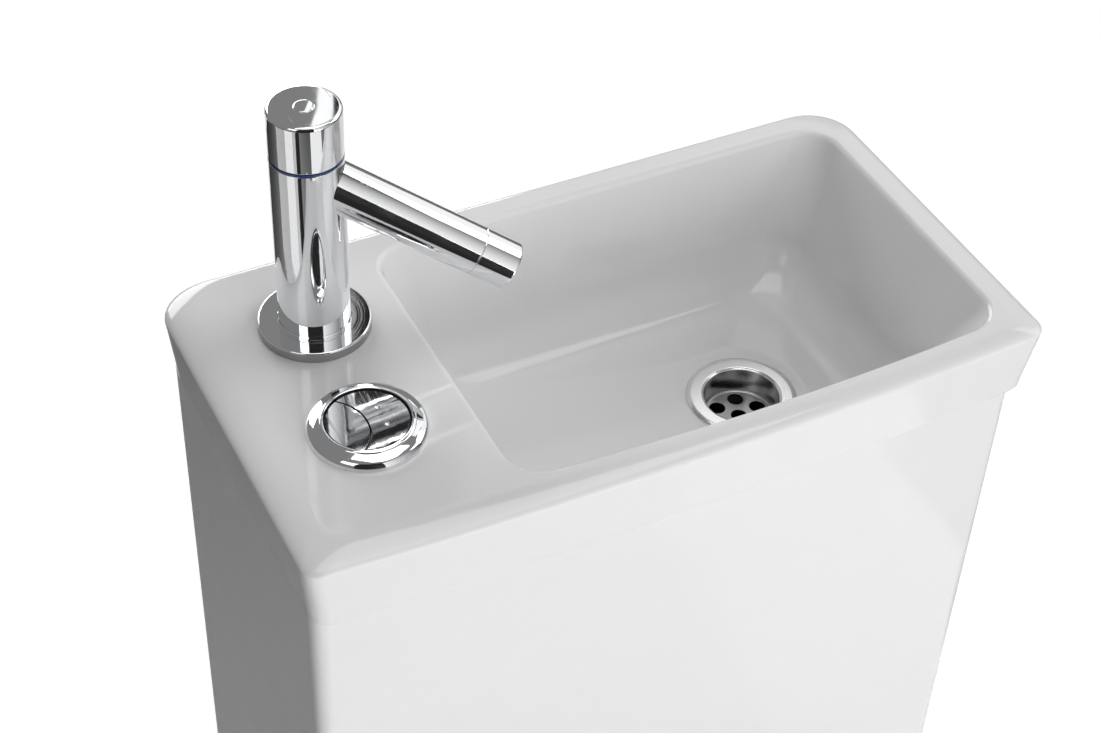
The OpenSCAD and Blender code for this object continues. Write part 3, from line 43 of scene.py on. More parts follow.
# Planes and axes of the whole unit
X_LEFT, X_RIGHT = -250.0, 250.0
Y_WALL, Y_BASIN, Y_CISTERN = 356.5, 96.5, 108.5
Z_DECK, Z_SLAB = 890.0, 836.0
Z_CISTERN, Z_CISTERN_TOP, Z_INSIDE = 412.0, 834.0, 424.0
TAP = (-168.0, 286.5)
BUTTON = (-174.0, 189.0)
WASTE = (113.0, 224.5)
VALVE = (0.0, 231.5)
INLETS = ((-192.0, 266.5), (192.0, 266.5))
Z_BOWL_FLOOR = 772.0
PAN_H = 400.0
Y_HINGE, Z_HINGE = 33.5, 422.0
HINGE_X = 77.5

# Basin: the rim's lean, rolled edge, foot, corners and bow, then its underside and the deck
DRAFT, EDGE_R, ROLL_W, FOOT_R = 5.0, 6.0, 22.0, 2.0
FRONT_R, BACK_R, FRONT_BOW = 11.0, 30.0, 7.0
RIM_W, WALL_RIM_W, DECK_T = 24.0, 12.0, 14.0
# Bowl: distances from the basin's sides, run of each wall down to the floor, and its own sizes
BOWL_LEFT, BOWL_RIGHT, BOWL_FRONT, BOWL_BACK = 140.0, 23.0, 20.0, 21.0
LEAN_LEFT, LEAN_RIGHT, LEAN_FRONT, LEAN_BACK = 16.0, 18.0, 29.0, 7.0
BOWL_R, BOWL_LIP, BOWL_WALL = 22.0, 4.0, 8.0
BOWL_DEPTH, BOWL_FILLET, BOWL_FALL = 112.0, 34.0, 6.0
WASTE_LAND = 44.0
# Cistern
CISTERN_HALF, CISTERN_WALL, CISTERN_FOOT_R = 243.0, 10.0, 14.0
CISTERN_FRONT_R, CISTERN_BACK_R = 10.0, 16.0
BOLT_X, WALL_HOLE_X, WALL_HOLE_DROP = 78, 150, 34
# Pan: foot screws and outlet
EAR, EAR_R, EAR_H = (122, 141.5), 19, 14
Y_OUTLET, Z_OUTLET = 294.5, 180
# Flush button: the plates' edge, the arc that parts them and how far its centre lies to the left
PLATE_R, SPLIT_R, SPLIT_SHIFT = 25.3, 29.0, 29.5
PART_GAP = 0.3
# Tap: radius of the column and the knob, of the spout, and height of the flange
COLUMN_R, SPOUT_R, FLANGE_H = 22.2, 15.2, 7.0

CORNER_STEPS = 10
EDGE_STEPS = 8
TURN_STEPS = 112
BOW_STEPS = 12
HORSESHOE_STEPS = 56
SHARP_DEGREES = 32


# ---------- Camera ----------

def add_camera():
    """Stand at the photograph's place, looking down over the basin from its left front."""
    yaw, pitch, roll = (math.radians(a) for a in (28.25, 42.74, 2.67))
    ahead = Vector((math.sin(yaw) * math.cos(pitch), math.cos(yaw) * math.cos(pitch), -math.sin(pitch)))
    level = Vector((math.cos(yaw), -math.sin(yaw), 0))
    upward = level.cross(ahead)
    right = math.cos(roll) * level + math.sin(roll) * upward
    up = -math.sin(roll) * level + math.cos(roll) * upward
    data = bpy.data.cameras.new("camera")
    data.sensor_width = 36
    data.lens = 70.66
    data.clip_end = 60
    camera = bpy.data.objects.new("camera", data)
    turn = Matrix((right, up, -ahead)).transposed()
    camera.matrix_world = Matrix.Translation((-0.5084, -0.6552, 1.7794)) @ turn.to_4x4()
    bpy.context.scene.collection.objects.link(camera)
    bpy.context.scene.camera = camera


# ---------- Node helpers ----------

def put(tree, kind, inputs=(), **settings):
    """Add a shader node, with its settings, and link or set each named input."""
    made = tree.nodes.new(kind)
    for name, value in settings.items():
        setattr(made, name, value)
    for key, value in dict(inputs).items():
        if isinstance(value, bpy.types.NodeSocket):
            tree.links.new(value, made.inputs[key])
        else:
            made.inputs[key].default_value = value
    return made


def maths(tree, operation, a, b=0.0, clamp=False):
    return put(tree, "ShaderNodeMath", {0: a, 1: b}, operation=operation, use_clamp=clamp).outputs[0]


def length(tree, a, b):
    """Distance from the axis to a place with these two coordinates."""
    squares = [maths(tree, "MULTIPLY", side, side) for side in (a, b)]
    return maths(tree, "SQRT", maths(tree, "ADD", *squares))


def spread(tree, value, low, high, to_low=0.0, to_high=1.0):
    """Map a value from one range to another, held at its ends."""
    levels = {"Value": value, "From Min": low, "From Max": high, "To Min": to_low, "To Max": to_high}
    return put(tree, "ShaderNodeMapRange", levels).outputs[0]


def tint(tree, share, plain, other):
    mixed = put(tree, "ShaderNodeMix", {"Factor": share}, data_type="RGBA")
    for index, value in ((6, plain), (7, other)):
        if isinstance(value, bpy.types.NodeSocket):
            tree.links.new(value, mixed.inputs[index])
        else:
            mixed.inputs[index].default_value = (*value, 1)
    return mixed.outputs[2]


def noise(tree, where, scale, detail=2.0, rough=0.5):
    values = {"Vector": where, "Scale": scale, "Detail": detail, "Roughness": rough}
    return put(tree, "ShaderNodeTexNoise", values).outputs[0]


def effect(name, inputs, outputs, build):
    """Make a shader node group from its sockets and a function that fills it."""
    tree = bpy.data.node_groups.new(name, "ShaderNodeTree")
    for label, kind, value in inputs:
        socket = tree.interface.new_socket(name=label, in_out="INPUT", socket_type="NodeSocket" + kind)
        if value is not None:
            socket.default_value = value
    for label, kind in outputs:
        tree.interface.new_socket(name=label, in_out="OUTPUT", socket_type="NodeSocket" + kind)
    source = tree.nodes.new("NodeGroupInput")
    sink = tree.nodes.new("NodeGroupOutput")
    for label, socket in build(tree, source.outputs).items():
        tree.links.new(socket, sink.inputs[label])
    return tree


# ---------- Effects that several finishes share ----------

def build_glaze_skin(tree, given):
    """Slow waves, fine ripple and rare pinholes of a fired glaze."""
    place = given["Place"]
    waves = noise(tree, place, 16, 1.5)
    ripple = noise(tree, place, 210, 2)
    height = maths(tree, "ADD", waves, maths(tree, "MULTIPLY", ripple, given["Ripple"]))
    cells = put(tree, "ShaderNodeTexVoronoi", {"Vector": place, "Scale": 62, "Randomness": 1.0})
    pin = spread(tree, cells.outputs["Distance"], 0.018, 0.03, 1, 0)
    seldom = spread(tree, noise(tree, place, 31, 0), 0.63, 0.66)
    pinholes = maths(tree, "MULTIPLY", maths(tree, "MULTIPLY", pin, seldom), given["Pinholes"])
    clouds = spread(tree, noise(tree, place, 5, 3), 0.3, 0.7)
    colour = tint(tree, clouds, given["Colour"], given["Cloud Colour"])
    speck = tint(tree, pinholes, colour, (0.5, 0.48, 0.45))
    return {"Colour": speck, "Height": maths(tree, "SUBTRACT", height, pinholes)}


def build_wiped_film(tree, given):
    """Roughness of a polished face that has been wiped: faint patches and drawn-out streaks."""
    place = given["Place"]
    patches = spread(tree, noise(tree, place, 24, 5, 0.6), 0.42, 0.7)
    drawn = put(
        tree, "ShaderNodeMapping", {"Vector": place, "Scale": (1, 1, 0.12), "Rotation": (0.5, 0.3, 0.8)})
    streaks = spread(tree, noise(tree, drawn.outputs[0], 150, 3), 0.5, 0.8)
    film = maths(tree, "ADD", maths(tree, "MULTIPLY", patches, 0.6), maths(tree, "MULTIPLY", streaks, 0.4))
    span = maths(tree, "SUBTRACT", given["Dull"], given["Bright"])
    rough = maths(tree, "MULTIPLY_ADD", film, span)
    tree.links.new(given["Bright"], rough.node.inputs[2])
    return {"Roughness": rough, "Film": film}


def build_fine_scratches(tree, given):
    """Hairline scratches in three directions, only in some patches."""
    place = given["Place"]
    total = None
    for turn, scale in (((0.2, 0.1, 0.5), 900), ((1.1, 0.4, -0.7), 1100), ((-0.6, 1.3, 0.2), 800)):
        lines = put(tree, "ShaderNodeMapping", {"Vector": place, "Rotation": turn, "Scale": (1, 0.02, 0.6)})
        hair = spread(tree, noise(tree, lines.outputs[0], scale, 0), 0.7, 0.76)
        total = hair if total is None else maths(tree, "MAXIMUM", total, hair)
    patches = spread(tree, noise(tree, place, 40, 2), 0.45, 0.65)
    mask = maths(tree, "MULTIPLY", maths(tree, "MULTIPLY", total, patches), given["Amount"])
    return {"Scratches": mask}


def build_lathe_rings(tree, given):
    """Rings of a turned or brushed face round the Z axis of the given place."""
    parts = put(tree, "ShaderNodeSeparateXYZ", {0: given["Place"]}).outputs
    along = put(tree, "ShaderNodeCombineXYZ", {0: length(tree, parts[0], parts[1]), 1: parts[2]}).outputs[0]
    fine = noise(tree, along, given["Fineness"], 3, 0.7)
    return {"Rings": spread(tree, fine, 0.3, 0.7)}


def build_moulded_grain(tree, given):
    """Fine grain of moulded plastic or rubber, with faint flow clouds."""
    place = given["Place"]
    grain = noise(tree, place, given["Fineness"], 3, 0.6)
    clouds = spread(tree, noise(tree, place, 12, 3), 0.3, 0.7)
    return {"Grain": grain, "Clouds": clouds}


def build_thread(tree, given):
    """Grooves of a screw thread round the Z axis of the given place."""
    parts = put(tree, "ShaderNodeSeparateXYZ", {0: given["Place"]}).outputs
    turn = maths(tree, "DIVIDE", maths(tree, "ARCTAN2", parts[1], parts[0]), math.tau)
    climb = maths(tree, "SUBTRACT", maths(tree, "DIVIDE", parts[2], given["Pitch"]), turn)
    return {"Groove": maths(tree, "PINGPONG", climb, 0.5)}


PLACE = ("Place", "Vector", None)
EFFECTS = {
    "glaze_skin": effect(
        "glaze_skin",
        [PLACE, ("Colour", "Color", (0.9, 0.9, 0.9, 1)), ("Cloud Colour", "Color", (0.9, 0.9, 0.9, 1)),
         ("Ripple", "Float", 0.1), ("Pinholes", "Float", 0.5)],
        [("Colour", "Color"), ("Height", "Float")], build_glaze_skin),
    "wiped_film": effect(
        "wiped_film", [PLACE, ("Bright", "Float", 0.03), ("Dull", "Float", 0.08)],
        [("Roughness", "Float"), ("Film", "Float")], build_wiped_film),
    "fine_scratches": effect(
        "fine_scratches", [PLACE, ("Amount", "Float", 1.0)], [("Scratches", "Float")], build_fine_scratches),
    "lathe_rings": effect(
        "lathe_rings", [PLACE, ("Fineness", "Float", 2500.0)], [("Rings", "Float")], build_lathe_rings),
    "moulded_grain": effect(
        "moulded_grain", [PLACE, ("Fineness", "Float", 900.0)],
        [("Grain", "Float"), ("Clouds", "Float")], build_moulded_grain),
    "thread_grooves": effect(
        "thread_grooves", [PLACE, ("Pitch", "Float", 0.0018)], [("Groove", "Float")], build_thread),
}


class Finish:
    """One material under construction, on Object coordinates that may be centred on an axis."""

    def __init__(self, name, centre=None, **constants):
        self.material = bpy.data.materials.new(name)
        self.material.use_nodes = True
        self.tree = self.material.node_tree
        self.shader = self.tree.nodes["Principled BSDF"]
        self.place = put(self.tree, "ShaderNodeTexCoord").outputs["Object"]
        if centre:
            moved = {"Vector": self.place, "Location": [-c * MM for c in centre]}
            self.place = put(self.tree, "ShaderNodeMapping", moved).outputs[0]
        for label, value in constants.items():
            self.shader.inputs[label.replace("_", " ")].default_value = value

    def effect(self, name, **values):
        inputs = {label.replace("_", " "): value for label, value in values.items()}
        made = put(self.tree, "ShaderNodeGroup", (), node_tree=EFFECTS[name])
        for label, value in {"Place": self.place, **inputs}.items():
            if isinstance(value, bpy.types.NodeSocket):
                self.tree.links.new(value, made.inputs[label])
            else:
                made.inputs[label].default_value = value
        return made.outputs

    def feed(self, label, socket):
        self.tree.links.new(socket, self.shader.inputs[label])

    def bump(self, height, distance, strength=1.0):
        """Add relief, on top of any relief that is already there."""
        levels = {"Height": height, "Distance": distance, "Strength": strength}
        made = put(self.tree, "ShaderNodeBump", levels)
        before = self.shader.inputs["Normal"].links
        if before:
            self.tree.links.new(before[0].from_socket, made.inputs["Normal"])
        self.feed("Normal", made.outputs[0])


def make_glaze():
    it = Finish("white_glaze")
    skin = it.effect("glaze_skin", Colour=(0.80, 0.80, 0.80, 1), Cloud_Colour=(0.785, 0.785, 0.79, 1),
                     Ripple=0.06, Pinholes=0.35)
    it.feed("Base Color", skin["Colour"])
    it.feed("Roughness", it.effect("wiped_film", Bright=0.05, Dull=0.11)["Roughness"])
    it.bump(skin["Height"], 0.0007, 0.5)
    return it.material


def make_chrome():
    it = Finish("bright_chrome", Metallic=1.0)
    it.feed("Roughness", it.effect("wiped_film", Bright=0.025, Dull=0.07)["Roughness"])
    marks = it.effect("fine_scratches", Amount=0.5)["Scratches"]
    it.feed("Base Color", tint(it.tree, marks, (0.90, 0.905, 0.915), (0.78, 0.78, 0.79)))
    it.bump(marks, 0.00002, 0.3)
    return it.material


def make_flange():
    """Bright plate whose upright rim is left brushed."""
    it = Finish("chrome_flange", (*TAP, 0), Metallic=1.0)
    parts = put(it.tree, "ShaderNodeSeparateXYZ", {0: it.place}).outputs
    away = length(it.tree, parts[0], parts[1])
    below_top = spread(it.tree, parts[2], 0.8962, 0.8958)
    at_rim = spread(it.tree, away, 0.0340, 0.0345)
    upright = maths(it.tree, "MULTIPLY", below_top, at_rim)
    rings = it.effect("lathe_rings", Fineness=2600.0)["Rings"]
    brushed = tint(it.tree, rings, (0.42, 0.42, 0.43), (0.36, 0.36, 0.37))
    it.feed("Base Color", tint(it.tree, upright, (0.90, 0.905, 0.915), brushed))
    polish = it.effect("wiped_film", Bright=0.025, Dull=0.07)["Roughness"]
    it.feed("Roughness", maths(it.tree, "MAXIMUM", polish, maths(it.tree, "MULTIPLY", upright, 0.34)))
    it.bump(rings, 0.00002, 0.2)
    return it.material


def near(tree, distance, radius, half_width):
    """1 within half a width of a radius, given in millimetres, and 0 just outside it."""
    off = maths(tree, "ABSOLUTE", maths(tree, "SUBTRACT", distance, radius * MM))
    return spread(tree, off, half_width * MM, (half_width + 0.1) * MM, 1, 0)


def make_plated():
    """Plated button with painted shadow in the two gaps between its pieces: near-black there, and not metal.
    """
    it = Finish("plated_button", (*BUTTON, 0), Specular_IOR_Level=0.3)
    it.feed("Roughness", it.effect("wiped_film", Bright=0.03, Dull=0.1)["Roughness"])
    marks = it.effect("fine_scratches", Amount=0.8)["Scratches"]
    parts = put(it.tree, "ShaderNodeSeparateXYZ", {0: it.place}).outputs
    away = length(it.tree, parts[0], parts[1])
    from_split = length(it.tree, maths(it.tree, "ADD", parts[0], SPLIT_SHIFT * MM), parts[1])
    # Painted shadow: bands round the plates' edge and along the split are made near-black and not metallic.
    round_gap = near(it.tree, away, PLATE_R + 0.2, 0.6)
    split = near(it.tree, from_split, SPLIT_R, 0.5)
    on_plate = spread(it.tree, away, 0.0254, 0.0255, 1, 0)
    painted_gap_shade = maths(it.tree, "MAXIMUM", round_gap, maths(it.tree, "MULTIPLY", split, on_plate))
    it.feed("Metallic", maths(it.tree, "SUBTRACT", 1.0, painted_gap_shade))
    plating = tint(it.tree, marks, (0.87, 0.875, 0.89), (0.7, 0.7, 0.71))
    it.feed("Base Color", tint(it.tree, painted_gap_shade, plating, (0.012, 0.012, 0.013)))
    it.bump(it.effect("moulded_grain", Fineness=55.0)["Grain"], 0.0002, 0.25)
    it.bump(marks, 0.00002, 0.4)
    return it.material


def make_satin():
    """Brushed flange, a duller cup below it and painted shade, near-black, under the strainer's face."""
    it = Finish("satin_waste", (*WASTE, Z_BOWL_FLOOR), Metallic=1.0)
    rings = it.effect("lathe_rings", Fineness=2600.0)["Rings"]
    height = put(it.tree, "ShaderNodeSeparateXYZ", {0: it.place}).outputs[2]
    in_cup = spread(it.tree, height, -0.0175, 0.0012, 1, 0)
    # Painted shade: all below the strainer's face is made near-black, so that its holes look dark.
    under = spread(it.tree, height, -0.0180, -0.0176, 1, 0)
    film = it.effect("wiped_film", Bright=0.16, Dull=0.3)["Roughness"]
    it.feed("Roughness", maths(it.tree, "MAXIMUM", film, maths(it.tree, "MULTIPLY", in_cup, 0.32)))
    brushed = tint(it.tree, rings, (0.86, 0.86, 0.865), (0.78, 0.78, 0.79))
    cup = tint(it.tree, in_cup, brushed, (0.40, 0.40, 0.40))
    it.feed("Base Color", tint(it.tree, under, cup, (0.015, 0.015, 0.015)))
    it.bump(rings, 0.00003, 0.5)
    return it.material


def make_plastic(name, colour, cloud, rough=(0.16, 0.26), fineness=900.0, relief=0.00003):
    it = Finish(name)
    grain = it.effect("moulded_grain", Fineness=fineness)
    it.feed("Base Color", tint(it.tree, grain["Clouds"], colour, cloud))
    it.feed("Roughness", it.effect("wiped_film", Bright=rough[0], Dull=rough[1])["Roughness"])
    it.bump(grain["Grain"], relief, 0.5)
    it.bump(it.effect("fine_scratches", Amount=0.5)["Scratches"], 0.00001, 0.3)
    return it.material


def make_turned_metal(name, centre, colour, shade, rough, pitch=0.0):
    it = Finish(name, centre, Metallic=1.0)
    rings = it.effect("lathe_rings", Fineness=1900.0)["Rings"]
    film = it.effect("wiped_film", Bright=rough[0], Dull=rough[1])
    it.feed("Base Color", tint(it.tree, film["Film"], colour, shade))
    it.feed("Roughness", film["Roughness"])
    it.bump(rings, 0.00004, 0.5)
    if pitch:
        it.bump(it.effect("thread_grooves", Pitch=pitch)["Groove"], 0.0009, 0.9)
    return it.material


def make_braid():
    it = Finish("woven_braid", (*TAP, 0), Metallic=1.0)
    crossed = None
    for slope in (1, -1):
        parts = put(it.tree, "ShaderNodeSeparateXYZ", {0: it.place}).outputs
        turn = maths(it.tree, "DIVIDE", maths(it.tree, "ARCTAN2", parts[1], parts[0]), math.tau / 8)
        climb = maths(it.tree, "MULTIPLY_ADD", parts[2], 260.0 * slope)
        it.tree.links.new(turn, climb.node.inputs[2])
        strand = maths(it.tree, "PINGPONG", climb, 0.5)
        crossed = strand if crossed is None else maths(it.tree, "MAXIMUM", crossed, strand)
    raised = spread(it.tree, crossed, 0.2, 0.5)
    it.feed("Base Color", tint(it.tree, raised, (0.22, 0.22, 0.23), (0.7, 0.7, 0.72)))
    it.feed("Roughness", it.effect("wiped_film", Bright=0.25, Dull=0.4)["Roughness"])
    it.bump(crossed, 0.0006, 0.8)
    return it.material


def make_rubber(name, colour, cloud, rough):
    return make_plastic(name, colour, cloud, rough, 500.0, 0.0002)


def make_brass(name, place):
    return make_turned_metal(name, (*place, 0), (0.72, 0.50, 0.22), (0.58, 0.38, 0.15), (0.18, 0.34), 0.0018)


def make_finishes():
    white, white_cloud = (0.80, 0.80, 0.79), (0.78, 0.78, 0.775)
    zinc, zinc_shade = (0.62, 0.64, 0.67), (0.5, 0.51, 0.53)
    return {
        "glaze": make_glaze(),
        "chrome": make_chrome(),
        "plated": make_plated(),
        "satin": make_satin(),
        "flange": make_flange(),
        "seat_white": make_plastic("seat_white", white, white_cloud, (0.09, 0.16), 700.0, 0.00002),
        "moulded_white": make_plastic("moulded_white", white, white_cloud, (0.28, 0.42), 1200.0, 0.00005),
        "float_grey": make_plastic("moulded_grey", (0.32, 0.34, 0.36), (0.29, 0.31, 0.33), (0.35, 0.5)),
        "valve_blue": make_plastic("valve_blue", (0.02, 0.09, 0.36), (0.025, 0.11, 0.4), (0.3, 0.42)),
        "index_blue": make_plastic("index_blue", (0.012, 0.03, 0.10), (0.02, 0.045, 0.14), (0.12, 0.2)),
        "dark_rubber": make_rubber("dark_rubber", (0.03, 0.03, 0.032), (0.04, 0.04, 0.042), (0.6, 0.8)),
        "red_rubber": make_rubber("red_rubber", (0.28, 0.02, 0.015), (0.32, 0.03, 0.02), (0.55, 0.7)),
        "pale_rubber": make_rubber("pale_rubber", (0.5, 0.5, 0.49), (0.45, 0.45, 0.44), (0.5, 0.65)),
        "zinc": make_turned_metal("zinc_steel", (*VALVE, 0), zinc, zinc_shade, (0.25, 0.45)),
        "brass": make_brass("turned_brass", TAP),
        "inlet_brass": make_brass("inlet_brass", INLETS[0]),
        "braid": make_braid(),
    }


# ---------- Shapes ----------

def mix(a, b, t):
    return a * (1 - t) + b * t


def settle(bm):
    """Merge doubles and turn every face outwards."""
    bmesh.ops.remove_doubles(bm, verts=bm.verts, dist=0.0005)
    bmesh.ops.recalc_face_normals(bm, faces=bm.faces)


def bevelled(bm, geom, radius, segments, affect="EDGES"):
    bmesh.ops.bevel(
        bm, geom=geom, offset=radius, offset_type="OFFSET", segments=segments, profile=0.5,
        affect=affect, material=-1,
    )


def without_face(bm):
    """The loop of edges that the only face leaves behind."""
    face = bm.faces[:][0]
    edges = list(face.edges)
    bmesh.ops.delete(bm, geom=[face], context="FACES_ONLY")
    return edges


def cornered_loop(bm, low, high, front_r, back_r, bow, z):
    """Level loop of edges: a rectangle with round corners whose front bows out."""
    made = bmesh.ops.create_grid(bm, x_segments=1, y_segments=1, size=0.5)["verts"]
    size = [b - a for a, b in zip(low, high)]
    middle = [(a + b) / 2 for a, b in zip(low, high)]
    bmesh.ops.scale(bm, vec=(*size, 1), verts=made)
    bmesh.ops.translate(bm, vec=(*middle, z), verts=made)
    for side, radius in ((-1, front_r), (1, back_r)):
        ends = [v for v in bm.faces[:][0].verts if (v.co.y - middle[1]) * side > size[1] / 2 - 1e-4]
        ends = sorted(ends, key=lambda v: v.co.x)
        bevelled(bm, [ends[0], ends[-1]], radius, CORNER_STEPS, "VERTICES")
    face = bm.faces[:][0]
    front = min(face.edges, key=lambda e: sum(v.co.y for v in e.verts) - 0.01 * e.calc_length())
    bmesh.ops.subdivide_edges(bm, edges=[front], cuts=BOW_STEPS - 1)
    face = bm.faces[:][0]
    for v in face.verts:
        if v.co.y < middle[1]:
            v.co.y -= bow * (1 - ((v.co.x - middle[0]) / (size[0] / 2)) ** 2)
    return without_face(bm)


def horseshoe_loop(bm, half, back_half, front, middle, back, back_r, z):
    """Level loop of edges: half an ellipse in front, straight sides and round corners at the back."""
    made = bmesh.ops.create_grid(bm, x_segments=1, y_segments=1, size=0.5)["verts"]
    bmesh.ops.scale(bm, vec=(2 * back_half, back - middle, 1), verts=made)
    bmesh.ops.translate(bm, vec=(0, (back + middle) / 2, z), verts=made)
    ends = [v for v in made if v.co.y > (back + middle) / 2]
    bevelled(bm, ends, back_r, CORNER_STEPS, "VERTICES")
    face = bm.faces[:][0]
    front_edge = min(face.edges, key=lambda e: sum(v.co.y for v in e.verts))
    bmesh.ops.subdivide_edges(bm, edges=[front_edge], cuts=HORSESHOE_STEPS - 1)
    face = bm.faces[:][0]
    for v in face.verts:
        if v.co.y < middle + 1e-4:
            a = math.pi * (1 + (v.co.x + back_half) / (2 * back_half))
            v.co.x = half * math.cos(a)
            v.co.y = middle + (middle - front) * math.sin(a)
    return without_face(bm)


def skinned(loops):
    """Close a solid over a list of loop makers, from one end to the other."""
    bm = bmesh.new()
    rings = [make(bm) for make in loops]
    for a, b in zip(rings, rings[1:]):
        bmesh.ops.bridge_loops(bm, edges=a + b)
    for end in (rings[0], rings[-1]):
        bmesh.ops.contextual_create(bm, geom=end)
    settle(bm)
    return bm


def rounding(radius, upward=True, steps=EDGE_STEPS):
    """Pairs of inset and rise of a quarter round, from the upright side to the flat."""
    pairs = []
    for i in range(steps + 1):
        a = math.pi / 2 * i / steps
        pairs.append((radius * (1 - math.cos(a)), radius * math.sin(a)))
    return pairs if upward else pairs[::-1]


def turned(profile, steps=TURN_STEPS, segments=4):
    """Turn a closed profile of radius, height and corner rounding about the Z axis."""
    bm = bmesh.new()
    corners = [bm.verts.new((p[0], 0, p[1])) for p in profile]
    bm.faces.new(corners)
    for vert, point in zip(corners, profile):
        if len(point) > 2:
            bevelled(bm, [vert], point[2], segments, "VERTICES")
    bmesh.ops.delete(bm, geom=bm.faces[:], context="FACES_ONLY")
    on_axis = [e for e in bm.edges if all(abs(v.co.x) < 1e-6 for v in e.verts)]
    bmesh.ops.delete(bm, geom=on_axis, context="EDGES")
    bmesh.ops.spin(
        bm, geom=bm.verts[:] + bm.edges[:], cent=(0, 0, 0), axis=(0, 0, 1), dvec=(0, 0, 0),
        angle=math.tau, steps=steps, use_merge=True,
    )
    settle(bm)
    return bm


def rod(diameter, length, low=0.0, steps=48, edge=0.0):
    r, high = diameter / 2, low + length
    rounded = (edge,) if edge else ()
    return turned([(0, low), (r, low, *rounded), (r, high, *rounded), (0, high)], steps, 3)


def block(low, high, edge=0.0):
    bm = bmesh.new()
    bmesh.ops.create_cube(bm, size=1)
    bmesh.ops.scale(bm, vec=[b - a for a, b in zip(low, high)], verts=bm.verts)
    bmesh.ops.translate(bm, vec=[(a + b) / 2 for a, b in zip(low, high)], verts=bm.verts)
    if edge:
        bevelled(bm, bm.edges[:], edge, 4)
    settle(bm)
    return bm


def moved(bm, x, y, z=0.0):
    bmesh.ops.translate(bm, vec=(x, y, z), verts=bm.verts)
    return bm


def transformed(bm, matrix):
    bmesh.ops.transform(bm, matrix=matrix, verts=bm.verts)
    return bm


def across(bm, x, y, z):
    """Lay a turned piece along X at a place."""
    return moved(transformed(bm, Matrix.Rotation(math.pi / 2, 4, "Y")), x, y, z)


def as_object(bm, name="tool"):
    mesh = bpy.data.meshes.new(name)
    bm.to_mesh(mesh)
    bm.free()
    made = bpy.data.objects.new(name, mesh)
    bpy.context.scene.collection.objects.link(made)
    return made


def combined(base, steps):
    """Join to or cut from a solid each further solid, and return the result as a bmesh."""
    solid = as_object(base, "solid")
    tools = []
    for operation, shape in steps:
        tool = as_object(shape)
        modifier = solid.modifiers.new(operation, "BOOLEAN")
        modifier.operation = operation
        modifier.solver = "MANIFOLD"
        modifier.object = tool
        tools.append(tool)
    bpy.context.view_layer.update()
    result = bmesh.new()
    result.from_mesh(solid.evaluated_get(bpy.context.evaluated_depsgraph_get()).data)
    for used in [solid] + tools:
        mesh = used.data
        bpy.data.objects.remove(used)
        bpy.data.meshes.remove(mesh)
    settle(result)
    return result


def together(*shapes):
    """Put closed solids that only touch or stand apart into one mesh."""
    whole = bmesh.new()
    for bm in shapes:
        mesh = bpy.data.meshes.new("part")
        bm.to_mesh(mesh)
        bm.free()
        whole.from_mesh(mesh)
        bpy.data.meshes.remove(mesh)
    return whole


def finish_piece(name, bm, material, body, replaced):
    """Bring a shape to metres, shade it, and put it in its CAD node's place."""
    bmesh.ops.scale(bm, vec=(MM, MM, MM), verts=bm.verts)
    limit = math.radians(SHARP_DEGREES)
    for edge in bm.edges:
        edge.smooth = edge.calc_face_angle(0) < limit
    for face in bm.faces:
        face.smooth = True
    piece = as_object(bm, name)
    piece.data.materials.append(material)
    normals = piece.modifiers.new("even_normals", "WEIGHTED_NORMAL")
    normals.keep_sharp = True
    normals.weight = 90
    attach(piece, body)
    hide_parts(*replaced)
    return piece


# ---------- Basin and cistern ----------

def slab_loop(side, back, front_r, z):
    """Loop of the slab, drawn in on the front and the two sides, and at the wall."""
    low, high = (X_LEFT + side, Y_BASIN + side), (X_RIGHT - side, Y_WALL - back)
    return lambda bm: cornered_loop(bm, low, high, front_r, BACK_R - back / 2, FRONT_BOW, z)


def bowl_loop(share, inset, r, z):
    """Loop of the bowl after its walls have come in by a share of their lean and by an inset."""
    low = (X_LEFT + BOWL_LEFT + LEAN_LEFT * share + inset, Y_BASIN + BOWL_FRONT + LEAN_FRONT * share + inset)
    high = (X_RIGHT - BOWL_RIGHT - LEAN_RIGHT * share - inset, Y_WALL - BOWL_BACK - LEAN_BACK * share - inset)
    return lambda bm: cornered_loop(bm, low, high, r, r, FRONT_BOW * (1 - share), z)


def waste_land_loop(share, z):
    """Loop between the bowl's crease and the round land under the waste's flange."""
    crease = (
        (X_LEFT + BOWL_LEFT + LEAN_LEFT + BOWL_FILLET, Y_BASIN + BOWL_FRONT + LEAN_FRONT + BOWL_FILLET),
        (X_RIGHT - BOWL_RIGHT - LEAN_RIGHT - BOWL_FILLET, Y_WALL - BOWL_BACK - LEAN_BACK - BOWL_FILLET),
    )
    ends = []
    for corner, side in zip(crease, (-1, 1)):
        land = [middle + WASTE_LAND * side for middle in WASTE]
        ends.append(tuple(mix(a, b, share) for a, b in zip(corner, land)))
    r = mix(BOWL_R, WASTE_LAND * 0.98, share)
    return lambda bm: cornered_loop(bm, *ends, r, r, 0, z)


def bowl_wall_loops(wall):
    """Loops of the bowl from the lip down; the wall is 0 for the hollow."""
    loops = []
    start = Z_DECK - BOWL_LIP - wall
    end = Z_DECK - (BOWL_DEPTH - BOWL_FILLET)
    for i in range(7):
        t = i / 6
        ease = t * t * (3 - 2 * t) * 0.25 + t * 0.75
        loops.append(bowl_loop(ease * 0.98, -wall, BOWL_R + wall, start + (end - start) * t * 0.97))
    for i in range(13):
        a = math.pi / 2 * i / 12
        r = BOWL_FILLET + wall
        inset = BOWL_FILLET - r * math.cos(a)
        loops.append(bowl_loop(1, inset, BOWL_R + wall * math.cos(a), end - r * math.sin(a)))
    for i in range(1, 7):
        t = i / 6
        loops.append(waste_land_loop(t, Z_DECK - BOWL_DEPTH - wall - BOWL_FALL * t))
    return loops


